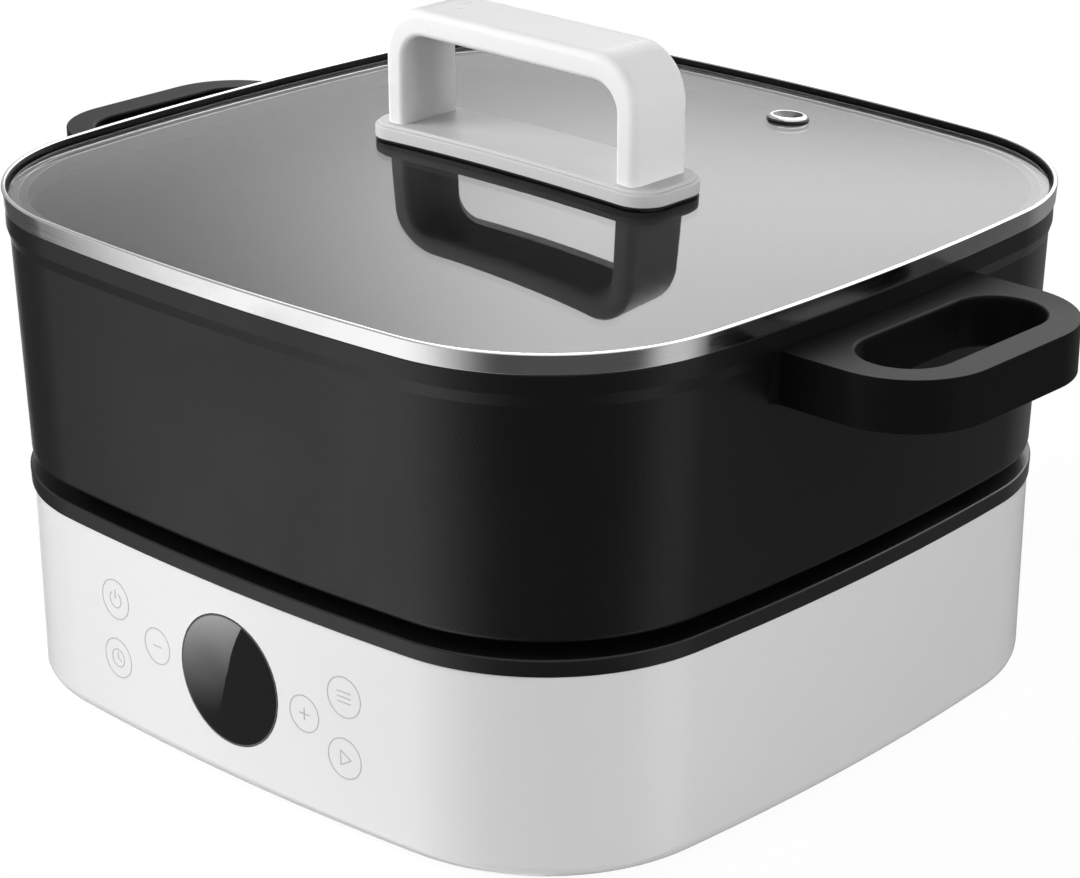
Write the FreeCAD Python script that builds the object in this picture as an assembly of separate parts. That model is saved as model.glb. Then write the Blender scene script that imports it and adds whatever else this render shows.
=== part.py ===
import FreeCAD, Part
import math
import os

from FreeCAD import Placement, Rotation, Vector

# Electric hot pot with a lift-off pot and a lift-off glass lid.
# Millimetres. +Z is up, the display faces -Y, the pot's handles point along X and the
# origin lies under the middle of the feet.

# ---------------------------------------------------------------- plan outline
# Base, pot and lid share one plan outline: four slightly bowed sides and four round
# corners. "grow" is how far a wall lies outside that outline; negative is inside it.
body_half = 145.0           # centre to the middle of a side
body_corner = 68.0          # radius of the corners
side_bow = 971.0            # radius of the sides

# ---------------------------------------------------------------- running fits
seat_gap = 0.3              # between loosely seated pieces
slip_gap = 0.05             # round pins, screws and stems
over = 1.0                  # how far a cutter reaches past what it cuts
level_slack = 0.01          # edges this close to one height count as level
grow_slack = 0.02           # edges this close to an outline count as on it
point_slack = 0.001         # points this close together count as one

# ---------------------------------------------------------------- base shell
foot_height = 3.0
shell_height = 71.1
shell_wall = 2.5
shell_heel_radius = 6.0     # rounding of the lower outer edge
shell_edge_radius = 0.8     # rounding of the upper outer edge
shell_flange_width = 18.0   # turned-in flange along the lower edge
cover_inset = 9.0           # outline to the recess that takes the bottom cover
cover_thick = 2.2

# ---------------------------------------------------------------- feet
foot_radius = 11.0
foot_edge_radius = 1.0
foot_stem_radius = 3.0
foot_barb_radius = 4.2
foot_barb_height = 1.4
foot_barb_tip_radius = 2.2
foot_inset = 26.0           # outline to the foot's centre, along a corner's diagonal

# ---------------------------------------------------------------- top deck
ring_height = 5.9           # visible height of the black belt
ring_top_grow = 0.8
ring_bottom_grow = 0.6
ring_edge_radius = 0.8
ring_width = 13.8           # width of the belt's level top
deck_drop = 4.0             # belt's top down to the deck
deck_thick = 2.5
deck_hole_gap = 5.0         # heating plate's edge to the deck's hole, filled by the seal
skirt_depth = 6.0           # deck's locating skirt inside the shell
skirt_thick = 2.0
post_radius = 5.0           # corner posts that the cover's screws pull on
post_inset = 54.0
post_split = 30.0           # height where the cover's column meets the deck's post
column_radius = 6.0
column_bore_radius = 4.0    # bore that takes a cover screw's head
column_web = 6.0            # thickness above a cover screw's head
cover_screw_radius = 2.0
cover_screw_grip = 12.0     # cover screw's length in the post
cover_head_height = 2.4

# ---------------------------------------------------------------- heating plate
plate_inset = 50.0          # outline's side to the heating plate's edge
plate_rise = 3.5            # plate's top above the deck
plate_thick = 7.0
plate_edge_radius = 1.0
plate_bore_radius = 13.5
seal_lip = 3.0              # seal's overlap on the deck
seal_thick = 1.3
seal_lip_thick = 0.5
element_ring_radius = 70.0
element_tube_radius = 4.0
element_open_angle = 50.0   # the ring's open part, toward the back
terminal_length = 18.0
pin_radius = 1.3
pin_length = 6.0
element_clearance = 1.5     # round the element's cold ends in the heat shield
plate_post_count = 3
plate_post_ring = 45.0      # radius of the circle of posts
plate_post_angle = 30.0     # of the first post
plate_post_radius = 4.0
plate_boss_height = 4.5
plate_boss_radius = 5.5
plate_screw_grip = 2.0      # plate screw's length above the plate's underside
shield_drop = 13.5          # deck's underside down to the heat shield's floor
shield_sheet = 0.8
shield_flange_width = 8.0
shield_wall_inset = 1.0     # deck's hole to the shield's wall
shield_floor_inset = 6.0    # deck's hole to the shield's floor
shield_screw_count = 6
shield_screw_grip = 1.7     # shield screw's hole in the deck
thermostat_radius = 8.0
thermostat_height = 6.0
thermostat_edge_radius = 1.0
thermostat_flange = 1.5     # width and thickness of its mounting flange
thermostat_tab_size = (0.8, 5.0, 4.5)
thermostat_tab_spread = 4.0

# ---------------------------------------------------------------- sensor
button_radius = 10.0
button_wall = 1.2
button_bevel = 0.8
button_collar = 0.6         # stop collar's width at the button's foot
button_collar_height = 1.3
sensor_travel = 3.0         # rise of the button when the pot is lifted off
guide_wall = 1.3
guide_lip_height = 4.0      # narrow mouth that stops the button's collar
guide_depth = 28.0          # guide's floor below its mouth
guide_recess = 3.5          # guide's mouth below the plate's top
guide_flange_width = 4.0
guide_flange_thick = 1.2
guide_drain_radius = 2.0
spring_wire_radius = 0.45
spring_radius = 6.5
spring_turns = 4
spring_turn_arcs = 8        # arcs that make one turn

# ---------------------------------------------------------------- front panel
display_radius = 22.8
display_height = 41.0       # centre above the ground
display_lip = 2.2           # lens flange behind the wall
display_lip_thick = 1.2
display_box_inset = 2.0     # light box inside the lens's edge
board_gap = 5.5             # shell's inner wall to the control board
board_screw_grip = 4.0      # board screw's length in its boss
board_thick = 1.6
board_half_width = 66.0
board_half_height = 19.0
near_key_spread = 34.8      # minus and plus keys from the display's centre line
far_key_spread = 55.0       # outer keys from the display's centre line
key_rise = 10.8             # outer keys above and below the display's centre
key_pad_radius = 5.5
board_screw_spread = 62.0   # board screws from the centre line
boss_radius = 3.2

# ---------------------------------------------------------------- power electronics
power_board_size = (96.0, 64.0)
power_board_centre = (-8.0, 20.0)
power_board_height = 16.0   # board's underside above the bottom cover
power_board_margin = 6.0    # board's edge to its screws
power_screw_grip = 6.0      # board screw's length in its post
relay_size = (19.0, 15.5, 15.0)
relay_place = (0.45, -0.35)         # shares of the board's half length and width
transformer_size = (22.0, 19.0, 17.0)
transformer_place = (-0.42, -0.2)
winding_size = (13.2, 25.0, 10.2)
winding_rise = 2.0
capacitor_radius = 6.0
capacitor_height = 18.0
capacitor_places = ((-0.55, 0.45), (-0.25, 0.45))
terminal_size = (30.0, 11.0, 12.0)
terminal_place = (0.35, 0.5)
terminal_count = 3
terminal_hole_radius = 2.2
terminal_hole_depth = 7.0
small_screw_radius = 1.5
small_head_radius = 2.8
small_head_height = 1.8
screw_chamfer = 0.3         # share of a screw head's height

# ---------------------------------------------------------------- power inlet
inlet_height = 36.0         # socket's centre above the ground
inlet_flange_half = 24.0
inlet_flange_rise = 11.5
inlet_flange_thick = 1.6
inlet_body_half = 14.0
inlet_body_rise = 10.0
inlet_body_depth = 22.0
inlet_wall = 1.8
inlet_floor = 3.0
inlet_screw_spread = 19.5
inlet_boss_radius = 3.8
inlet_boss_length = 7.0
inlet_boss_floor = 1.0
inlet_corner = 6.0          # flange's corner radius
inlet_body_corner = 2.0
inlet_head_height = 1.3
blade_pitch = 7.0
blade_size = (2.0, 4.0)
blade_recess = 5.1          # blades' tips behind the flange's face
blade_tail = 7.0            # solder tails behind the body
earth_offset = 3.5          # middle blade's offset from the outer two

# ---------------------------------------------------------------- bottom cover
vent_slot_length = 46.0
vent_slot_width = 3.2
vent_slot_pitch = 9.0
vent_slot_count = 7
vent_block_spread = 80.0    # centre of each block of slots from the middle
cover_rib_height = 3.0

# ---------------------------------------------------------------- pot
pot_gap = 4.5               # belt's top up to the pot's lower edge
pot_foot_grow = -0.3
pot_top_grow = 1.95
pot_wall_height = 77.0      # lower edge up to the lip
pot_lip_height = 10.5
pot_lip_grow = 3.0
pot_lip_root = 4.0          # height of the slope under the lip
pot_wall = 4.0
pot_floor = 7.0
pot_heel_radius = 2.5
pot_inner_radius = 14.0
pot_base_inset = 17.0       # outline to the raised base under the pot
pot_base_radius = 2.0
pot_lip_radius = 0.6        # rounding of the lip's upper outer edge

# ---------------------------------------------------------------- side handles
loop_reach = 57.0           # side handle's reach past the plan outline
loop_half_width = 50.0
loop_corner = 30.0
loop_flare = 3.0            # radius where the loop runs out into the pot
loop_height = 17.2
loop_top_drop = 6.8         # lip's top down to the loop's top
loop_top_radius = 5.0
loop_bottom_radius = 6.5
slot_half_width = 38.5
slot_near = 14.0            # slot's near side past the plan outline
slot_width = 31.0
slot_edge_radius = 1.2
loop_root_depth = 8.0       # loop's root before it is trimmed to the wall
loop_boss_radius = 6.0
loop_boss_length = 7.5
loop_boss_floor = 0.5
loop_boss_spread = 24.0
loop_screw_radius = 2.4
loop_head_radius = 4.4
loop_head_height = 2.6
loop_screw_length = 9.0
loop_web = 2.6              # wall between the boss and the screw head

# ---------------------------------------------------------------- lid rim and glass
rim_grow = 3.5
rim_height = 6.6
rim_flare = 0.4             # rim's outer face leans out by this much
rim_flange_thick = 0.8
glass_bed = 0.12            # sealant between the rim's flange and the glass
rim_flange_width = 8.5
rim_skirt_depth = 5.5
rim_skirt_thick = 0.8
rim_edge_share = 0.25       # rounding of the rim's top, as a share of its width there
glass_thick = 3.2
glass_reach = 1.9           # rim's foot in to the glass's edge, less the gap
dome_half = 158.0           # where the dome's curve would come down to its base
dome_rise = 7.9

# ---------------------------------------------------------------- lid handle
handle_rise = 46.5          # handle's top above the glass's crown
handle_half_length = 56.5
handle_depth = 27.0
handle_leg = 8.6
handle_bridge = 9.6
handle_outer_radius = 18.0
handle_inner_radius = 9.5
handle_edge_radius = 3.2
handle_inner_edge_radius = 2.2
gasket_thick = 0.8
dome_gap = 0.05             # between the glass and what is shaped to lie on it
gasket_inset = 0.3          # plate's edge to the gasket's edge
plate_foot_thick = 4.2
plate_step_thick = 1.0
plate_step_inset = 1.4
plate_margin_length = 7.7   # plate past the handle's legs
plate_margin_depth = 3.7
plate_corner = 11.0
handle_screw_radius = 2.0
handle_screw_length = 24.0
handle_head_radius = 4.2
handle_head_height = 2.4
washer_radius = 7.0
washer_thick = 1.5
glass_hole_radius = 3.0

# ---------------------------------------------------------------- steam vent
vent_x = 23.5
vent_inset = 38.5           # outline's back side to the vent's centre
vent_flange_radius = 7.2
vent_flange_thick = 1.3
vent_flange_bevel = 0.7
vent_funnel_radius = 4.8
vent_funnel_depth = 2.2
vent_bore_radius = 1.9
vent_tube_radius = 3.6
vent_seal_radius = 7.6
vent_seal_thick = 0.8
vent_nut_radius = 6.0
vent_nut_thick = 2.5
vent_nut_bevel = 0.6
vent_tube_reach = 1.0       # vent's tube below its nut
vent_flat_gap = 0.05        # flat washers against the curved glass

# ================================================================ derived places
plate_radius = body_half - plate_inset
deck_hole_radius = plate_radius + deck_hole_gap
shield_floor_radius = deck_hole_radius - shield_floor_inset
vent_y = body_half - vent_inset

bow_offset = side_bow - body_half
corner_reach = side_bow - body_corner
corner_centre = (math.sqrt(2 * corner_reach**2 - bow_offset**2) - bow_offset) / 2
tangent_angle = math.atan2(corner_centre, corner_centre + bow_offset)

shell_bottom = foot_height
shell_top = shell_bottom + shell_height
cover_top = shell_bottom + cover_thick
flange_top = cover_top + shell_wall
ring_top = shell_top + ring_height
ring_inner_grow = ring_top_grow - ring_width
deck_top = ring_top - deck_drop
deck_bottom = deck_top - deck_thick
plate_top = deck_top + plate_rise
plate_bottom = plate_top - plate_thick
shield_bottom = deck_bottom - shield_drop
shield_floor_top = shield_bottom + shield_sheet

pot_bottom = ring_top + pot_gap
pot_lip_bottom = pot_bottom + pot_wall_height
pot_top = pot_lip_bottom + pot_lip_height
pot_inside_bottom = plate_top + pot_floor
loop_top = pot_top - loop_top_drop
loop_bottom = loop_top - loop_height
loop_middle = (loop_top + loop_bottom) / 2

rim_bottom = pot_top
rim_top = rim_bottom + rim_height
glass_grow = rim_grow - glass_reach - seat_gap
glass_edge_share = 1 - ((body_half + glass_grow) / dome_half) ** 2
dome_base = rim_bottom + rim_flange_thick + glass_bed + glass_thick - dome_rise * glass_edge_share
handle_top = dome_base + dome_rise + handle_rise
plate_step_top = gasket_thick + plate_foot_thick + plate_step_thick
lid_low = rim_bottom - 2 * glass_thick
lid_high = handle_top + over

front_wall_inside = -(body_half - shell_wall)
board_front = front_wall_inside + board_gap
board_back = board_front + board_thick
power_board_bottom = cover_top + power_board_height
power_board_top = power_board_bottom + board_thick


# ================================================================ form helpers
def arc(centre_x, centre_y, radius, start, end, z):
    """Edge of a level arc round a centre, from one angle to another."""
    points = []
    for angle in (start, (start + end) / 2, end):
        x = centre_x + radius * math.cos(angle)
        y = centre_y + radius * math.sin(angle)
        points.append(Vector(x, y, z))
    return Part.Arc(*points).toShape()


def outline(grow, z):
    """Closed wire of the plan outline, moved outwards by grow, at height z."""
    side = arc(-bow_offset, 0, side_bow + grow, -tangent_angle, tangent_angle, z)
    corner_end = math.pi / 2 - tangent_angle
    corner = arc(corner_centre, corner_centre, body_corner + grow, tangent_angle, corner_end, z)
    edges = []
    for quarter in range(4):
        edges.append(spun(side, 90 * quarter))
        edges.append(spun(corner, 90 * quarter))
    return Part.Wire(edges)


def prism(grow, bottom, top):
    """Upright solid on the plan outline."""
    return Part.Face(outline(grow, bottom)).extrude(Vector(0, 0, top - bottom))


def tier(lower_grow, bottom, upper_grow, top):
    """Solid between two heights whose wall leans from one outline to the other."""
    return Part.makeLoft([outline(lower_grow, bottom), outline(upper_grow, top)], True, True)


def grow_of(point):
    """How far a point lies outside the plan outline."""
    far = max(abs(point.x), abs(point.y))
    near = min(abs(point.x), abs(point.y))
    if math.atan2(near, far + bow_offset) < tangent_angle:
        return math.hypot(far + bow_offset, near) - side_bow
    return math.hypot(far - corner_centre, near - corner_centre) - body_corner


def outline_edges(solid, grow, z):
    """The edges of a solid that run along one outline at one height."""
    found = []
    for edge in solid.Edges:
        middle = edge.valueAt((edge.FirstParameter + edge.LastParameter) / 2)
        level = abs(middle.z - z) < level_slack and edge.BoundBox.ZLength < level_slack
        if level and abs(grow_of(middle) - grow) < grow_slack:
            found.append(edge)
    return found


def level_edges(solid, z, keep=lambda middle: True):
    """The level edges of a solid at one height whose middle passes a test."""
    found = []
    for edge in solid.Edges:
        middle = edge.valueAt((edge.FirstParameter + edge.LastParameter) / 2)
        level = abs(middle.z - z) < level_slack and edge.BoundBox.ZLength < level_slack
        if level and keep(middle):
            found.append(edge)
    return found


def disc(x, y, bottom, top, radius):
    """Upright cylinder."""
    return Part.makeCylinder(radius, top - bottom, Vector(x, y, bottom))


def block(x, y, bottom, size):
    """Upright box, centred on a point."""
    return Part.makeBox(size[0], size[1], size[2], Vector(x - size[0] / 2, y - size[1] / 2, bottom))


def turned(profile):
    """Solid of revolution about Z from (radius, height) corners."""
    points = [Vector(radius, 0, height) for radius, height in profile]
    face = Part.Face(Part.makePolygon(points + points[:1]))
    return face.revolve(Vector(), Vector(0, 0, 1), 360)


def moved(solid, x, y, z):
    """Copy of a solid, moved."""
    copy = solid.copy()
    copy.translate(Vector(x, y, z))
    return copy


def spun(solid, angle):
    """Copy of a solid, turned about Z by an angle in degrees."""
    copy = solid.copy()
    copy.rotate(Vector(), Vector(0, 0, 1), angle)
    return copy


def aimed(solid, position, direction):
    """Copy of a solid whose +Z is aimed along a direction, moved to a position."""
    copy = solid.copy()
    copy.Placement = Placement(position, Rotation(Vector(0, 0, 1), direction))
    return copy


def rounded_rectangle(half_x, half_y, radius, z):
    """Closed wire of a level rectangle with round corners."""
    x = half_x - radius
    y = half_y - radius
    quarter = math.pi / 2
    arcs = [
        arc(x, y, radius, 0, quarter, z),
        arc(-x, y, radius, quarter, 2 * quarter, z),
        arc(-x, -y, radius, 2 * quarter, 3 * quarter, z),
        arc(x, -y, radius, 3 * quarter, 4 * quarter, z),
    ]
    edges = []
    for index, edge in enumerate(arcs):
        start = edge.valueAt(edge.LastParameter)
        following = arcs[(index + 1) % 4]
        end = following.valueAt(following.FirstParameter)
        edges.append(edge)
        if start.distanceToPoint(end) > point_slack:
            edges.append(Part.makeLine(start, end))
    return Part.Wire(Part.__sortEdges__(edges))


def rounded_block(half_x, half_y, radius, bottom, top):
    """Upright solid on a rectangle with round corners."""
    face = Part.Face(rounded_rectangle(half_x, half_y, radius, bottom))
    return face.extrude(Vector(0, 0, top - bottom))


def screw(head_radius, head_height, shank_radius, length):
    """Screw along +Z: its head ends at z = 0 and its shank starts there."""
    chamfer = head_height * screw_chamfer
    return turned((
        (0, -head_height), (head_radius - chamfer, -head_height), (head_radius, chamfer - head_height),
        (head_radius, 0), (shank_radius, 0), (shank_radius, length), (0, length),
    ))


def corner_points(inset):
    """The four points on the corners' diagonals at a distance inside the outline."""
    reach = corner_centre + (body_corner - inset) / math.sqrt(2)
    return [(sx * reach, sy * reach) for sx in (1, -1) for sy in (1, -1)]


def circle_points(count, radius, first_angle=0.0):
    """Points evenly spaced on a circle."""
    points = []
    for index in range(count):
        angle = math.radians(first_angle + 360.0 * index / count)
        points.append((radius * math.cos(angle), radius * math.sin(angle)))
    return points


# ================================================================ base
def key_places():
    """Places (x, z) of the six touch keys: two by the display, four at its corners."""
    places = [(-near_key_spread, display_height), (near_key_spread, display_height)]
    for side in (-1, 1):
        for rise in (-key_rise, key_rise):
            places.append((side * far_key_spread, display_height + rise))
    return places


def along_y(x, y, z, radius, length):
    """Cylinder from a point toward +Y."""
    return Part.makeCylinder(radius, length, Vector(x, y, z), Vector(0, 1, 0))


def shell_cavity():
    """Room inside the base shell."""
    return prism(-shell_wall, flange_top, shell_top + over)


def base_shell():
    """White housing: bowed walls, a turned-in flange below, and the front and back cut-outs."""
    outer = prism(0, shell_bottom, shell_top)
    outer = outer.makeFillet(shell_heel_radius, outline_edges(outer, 0, shell_bottom))
    outer = outer.makeFillet(shell_edge_radius, outline_edges(outer, 0, shell_top))
    shell = outer.cut(shell_cavity())
    shell = shell.cut(prism(-shell_flange_width, shell_bottom - over, flange_top + over))
    shell = shell.cut(prism(-cover_inset, shell_bottom - over, cover_top))
    window_depth = shell_wall + 2 * over
    window_radius = display_radius + slip_gap
    shell = shell.cut(along_y(0, -body_half - over, display_height, window_radius, window_depth))
    hole_radius = small_screw_radius + slip_gap
    for x in (-board_screw_spread, board_screw_spread):
        boss = along_y(x, -body_half, display_height, boss_radius, board_front + body_half)
        hole_start = board_front - board_screw_grip - seat_gap
        hole = along_y(x, hole_start, display_height, hole_radius, board_gap)
        shell = shell.fuse(boss.common(shell_cavity())).cut(hole)
    socket_half = inlet_body_half + seat_gap
    socket_rise = inlet_body_rise + seat_gap
    socket = inlet_block(socket_half, socket_rise, body_half - shell_wall - over, body_half + over)
    shell = shell.cut(socket)
    for x in (-inlet_screw_spread, inlet_screw_spread):
        boss_start = body_half - shell_wall - inlet_boss_length
        boss_length = inlet_boss_length + shell_wall
        boss = along_y(x, boss_start, inlet_height, inlet_boss_radius, boss_length)
        hole_start = boss_start + inlet_boss_floor
        hole = along_y(x, hole_start, inlet_height, hole_radius, boss_length)
        shell = shell.fuse(boss.common(shell_cavity())).cut(hole)
    return shell.removeSplitter()


def bottom_cover():
    """Tray that closes the base: locating rib, screw columns, board posts and air slots."""
    grow = -cover_inset - seat_gap
    cover = prism(grow, shell_bottom, cover_top)
    rib_grow = -shell_flange_width - seat_gap
    rib_top = cover_top + cover_rib_height
    rib = prism(rib_grow, cover_top, rib_top)
    cover = cover.fuse(rib.cut(prism(rib_grow - skirt_thick, cover_top, rib_top)))
    for x, y in corner_points(post_inset):
        cover = cover.fuse(disc(x, y, shell_bottom, post_split, column_radius))
        head_bore = disc(x, y, shell_bottom - over, post_split - column_web, column_bore_radius)
        shank_bore = disc(x, y, shell_bottom, post_split + over, cover_screw_radius + slip_gap)
        cover = cover.cut(head_bore).cut(shank_bore)
    for x, y in corner_points(foot_inset):
        stem_radius = foot_stem_radius + slip_gap
        cover = cover.cut(disc(x, y, shell_bottom - over, cover_top + over, stem_radius))
    for x, y in power_screw_places():
        cover = cover.fuse(disc(x, y, cover_top, power_board_bottom, boss_radius))
        hole_bottom = power_board_bottom - power_screw_grip - over
        cover = cover.cut(disc(x, y, hole_bottom, power_board_top, small_screw_radius + slip_gap))
    return cover.cut(vent_slots())


def vent_slots():
    """Two blocks of round-ended air slots in the bottom cover, as one compound of cutters."""
    cutters = []
    half = vent_slot_width / 2
    slot = rounded_block(vent_slot_length / 2, half, half, shell_bottom - over, cover_top + over)
    for side in (-1, 1):
        for index in range(vent_slot_count):
            y = (index - (vent_slot_count - 1) / 2) * vent_slot_pitch
            cutters.append(moved(slot, side * vent_block_spread, y, 0))
    return Part.makeCompound(cutters)


def feet():
    """Four rubber feet, each with a barbed stem through the cover."""
    pad = disc(0, 0, 0, foot_height, foot_radius)
    pad = pad.makeFillet(foot_edge_radius, level_edges(pad, 0))
    barb_top = cover_top + foot_barb_height
    stem = disc(0, 0, foot_height, cover_top, foot_stem_radius)
    barb = turned((
        (0, cover_top), (foot_barb_radius, cover_top), (foot_barb_tip_radius, barb_top),
        (0, barb_top),
    ))
    foot = pad.fuse([stem, barb])
    return [moved(foot, x, y, 0) for x, y in corner_points(foot_inset)]


def cover_screws():
    """Four screws up the cover's columns into the deck's posts."""
    head_radius = column_bore_radius - seat_gap
    length = column_web + cover_screw_grip
    one = screw(head_radius, cover_head_height, cover_screw_radius, length)
    return [moved(one, x, y, post_split - column_web) for x, y in corner_points(post_inset)]


def top_deck():
    """Black belt and the deck inside it, with a locating skirt and four corner posts."""
    belt = tier(ring_bottom_grow, shell_top, ring_top_grow, ring_top)
    belt = belt.makeFillet(ring_edge_radius, outline_edges(belt, ring_top_grow, ring_top))
    deck = belt.cut(prism(ring_inner_grow, deck_top, ring_top + over))
    skirt_grow = -shell_wall - seat_gap
    skirt_bottom = shell_top - skirt_depth
    skirt = prism(skirt_grow, skirt_bottom, shell_top + over)
    floor_grow = ring_inner_grow + deck_thick
    floor = prism(floor_grow, deck_bottom, deck_top)
    channel = prism(skirt_grow - skirt_thick, skirt_bottom - over, ring_top - deck_thick)
    channel = channel.cut(prism(floor_grow, deck_bottom, ring_top))
    deck = deck.fuse(skirt).cut(channel).fuse(floor)
    deck = deck.cut(disc(0, 0, deck_bottom - over, deck_top + over, deck_hole_radius))
    for x, y in corner_points(post_inset):
        deck = deck.fuse(disc(x, y, post_split, deck_top, post_radius))
        hole_top = post_split + cover_screw_grip + over
        hole_radius = cover_screw_radius + slip_gap
        deck = deck.cut(disc(x, y, post_split - over, hole_top, hole_radius))
    for x, y in shield_screw_places():
        hole_top = deck_bottom + shield_screw_grip
        hole_radius = small_screw_radius + slip_gap
        deck = deck.cut(disc(x, y, deck_bottom - over, hole_top, hole_radius))
    return deck.removeSplitter()


def shield_screw_places():
    """Places of the screws that hold the heat shield under the deck."""
    middle = deck_hole_radius + shield_flange_width / 2
    return circle_points(shield_screw_count, middle, 90.0 / shield_screw_count)


def plate_post_places():
    """Places of the posts that carry the heating plate."""
    return circle_points(plate_post_count, plate_post_ring, plate_post_angle)


def heating_plate():
    """Cast disc with a groove for the element, a centre bore and three bosses."""
    bevel = plate_edge_radius
    plate = turned((
        (plate_bore_radius, plate_bottom), (plate_radius, plate_bottom),
        (plate_radius, plate_top - bevel), (plate_radius - bevel, plate_top),
        (plate_bore_radius + bevel, plate_top), (plate_bore_radius, plate_top - bevel),
    ))
    centre = Vector(0, 0, plate_bottom)
    groove = Part.makeTorus(element_ring_radius, element_tube_radius + slip_gap, centre)
    plate = plate.cut(groove)
    for x, y in plate_post_places():
        boss_bottom = plate_bottom - plate_boss_height
        plate = plate.fuse(disc(x, y, boss_bottom, plate_bottom + over, plate_boss_radius))
        hole_top = plate_bottom + plate_screw_grip + slip_gap
        hole_radius = small_screw_radius + slip_gap
        plate = plate.cut(disc(x, y, boss_bottom - over, hole_top, hole_radius))
    return plate


def heating_element():
    """Open ring of tubular heater, half sunk in the plate, with two cold ends that turn down."""
    level = plate_bottom
    radius = element_tube_radius
    sweep = 360.0 - element_open_angle
    centre = Vector(0, 0, level)
    ring = Part.makeTorus(element_ring_radius, radius, centre, Vector(0, 0, 1), 0, 360, sweep)
    element = spun(ring, 90 + element_open_angle / 2)
    bottom = level - terminal_length
    for x, y in element_ends():
        knee = Part.makeSphere(radius, Vector(x, y, level))
        cold_end = disc(x, y, bottom, level, radius)
        pin = disc(x, y, bottom - pin_length, bottom, pin_radius)
        element = element.fuse([knee, cold_end, pin])
    return element.removeSplitter()


def element_ends():
    """Places (x, y) of the element's two cold ends."""
    places = []
    for side in (-1, 1):
        angle = math.radians(90 + side * element_open_angle / 2)
        x = element_ring_radius * math.cos(angle)
        y = element_ring_radius * math.sin(angle)
        places.append((x, y))
    return places


def plate_seal():
    """Silicone ring that closes the gap between plate and deck, with a lip on the deck."""
    inner = plate_radius
    outer = deck_hole_radius - slip_gap
    crown = deck_top + seal_thick
    bottom = deck_bottom + seat_gap
    lip_top = deck_top + seal_lip_thick
    return turned((
        (inner, bottom), (outer, bottom), (outer, deck_top), (outer + seal_lip, deck_top),
        (outer + seal_lip, lip_top), (outer, crown), (inner, crown),
    ))


def heat_shield():
    """Thin pan under the plate, hung from the deck by its flange."""
    sheet = shield_sheet
    wall_top = deck_hole_radius - shield_wall_inset
    flange = deck_hole_radius + shield_flange_width
    hub = sensor_guide_radius() + seat_gap
    pan = turned((
        (hub, shield_bottom), (shield_floor_radius, shield_bottom),
        (wall_top, deck_bottom - sheet), (flange, deck_bottom - sheet), (flange, deck_bottom),
        (wall_top - sheet, deck_bottom), (shield_floor_radius - sheet, shield_floor_top),
        (hub, shield_floor_top),
    ))
    low = shield_bottom - over
    high = shield_floor_top + over
    screw_hole_radius = small_screw_radius + slip_gap
    for x, y in plate_post_places():
        pan = pan.cut(disc(x, y, low, high, screw_hole_radius))
    for x, y in element_ends():
        pan = pan.cut(disc(x, y, low, high, element_tube_radius + element_clearance))
    for x, y in shield_screw_places():
        pan = pan.cut(disc(x, y, deck_bottom - 2 * over, deck_bottom + over, screw_hole_radius))
    return pan


def shield_screws():
    """Short screws through the heat shield's flange into the deck."""
    length = shield_sheet + shield_screw_grip - slip_gap
    one = screw(small_head_radius, small_head_height, small_screw_radius, length)
    return [moved(one, x, y, deck_bottom - shield_sheet) for x, y in shield_screw_places()]


def plate_posts():
    """Three tube spacers between the heat shield's floor and the plate's bosses."""
    top = plate_bottom - plate_boss_height
    post = turned((
        (small_screw_radius + slip_gap, shield_floor_top), (plate_post_radius, shield_floor_top),
        (plate_post_radius, top), (small_screw_radius + slip_gap, top),
    ))
    return [moved(post, x, y, 0) for x, y in plate_post_places()]


def plate_screws():
    """Three screws up through the shield and the spacers into the plate."""
    length = plate_bottom + plate_screw_grip - shield_bottom
    one = screw(small_head_radius, small_head_height, small_screw_radius, length)
    return [moved(one, x, y, shield_bottom) for x, y in plate_post_places()]


def thermostat():
    """Snap-disc thermostat pressed against the plate's underside."""
    x, y = 0, plate_post_ring
    low = plate_bottom - thermostat_height
    cup = disc(x, y, low, plate_bottom, thermostat_radius)
    cup = cup.makeFillet(thermostat_edge_radius, level_edges(cup, low))
    flange_radius = thermostat_radius + thermostat_flange
    body = cup.fuse(disc(x, y, plate_bottom - thermostat_flange, plate_bottom, flange_radius))
    for side in (-1, 1):
        tab_x = x + side * thermostat_tab_spread
        tab_bottom = low - thermostat_tab_size[2] + thermostat_edge_radius
        body = body.fuse(block(tab_x, y, tab_bottom, thermostat_tab_size))
    return body


def guide_bore():
    """Radius of the guide's main bore, which the button's collar runs in."""
    return button_radius + button_collar + seat_gap


def sensor_guide_radius():
    """Outer radius of the sensor's guide."""
    return guide_bore() + guide_wall


def guide_top():
    """Height of the guide's mouth."""
    return plate_top - guide_recess


def sensor_guide():
    """Cup under the plate's bore: a wide bore with a narrow mouth, and a flange on the shield."""
    outer = sensor_guide_radius()
    top = guide_top()
    bottom = top - guide_depth
    mouth = button_radius + seat_gap
    flange = outer + guide_flange_width
    return turned((
        (guide_drain_radius, bottom), (outer, bottom), (outer, shield_bottom - guide_flange_thick),
        (flange, shield_bottom - guide_flange_thick), (flange, shield_bottom),
        (outer, shield_bottom), (outer, top), (mouth, top), (mouth, top - guide_lip_height),
        (guide_bore(), top - guide_lip_height), (guide_bore(), bottom + guide_wall),
        (guide_drain_radius, bottom + guide_wall),
    ))


def button_collar_top():
    """Height of the collar's upper face: it meets the guide's mouth at the end of the travel."""
    return guide_top() - guide_lip_height - sensor_travel - seat_gap


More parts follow.
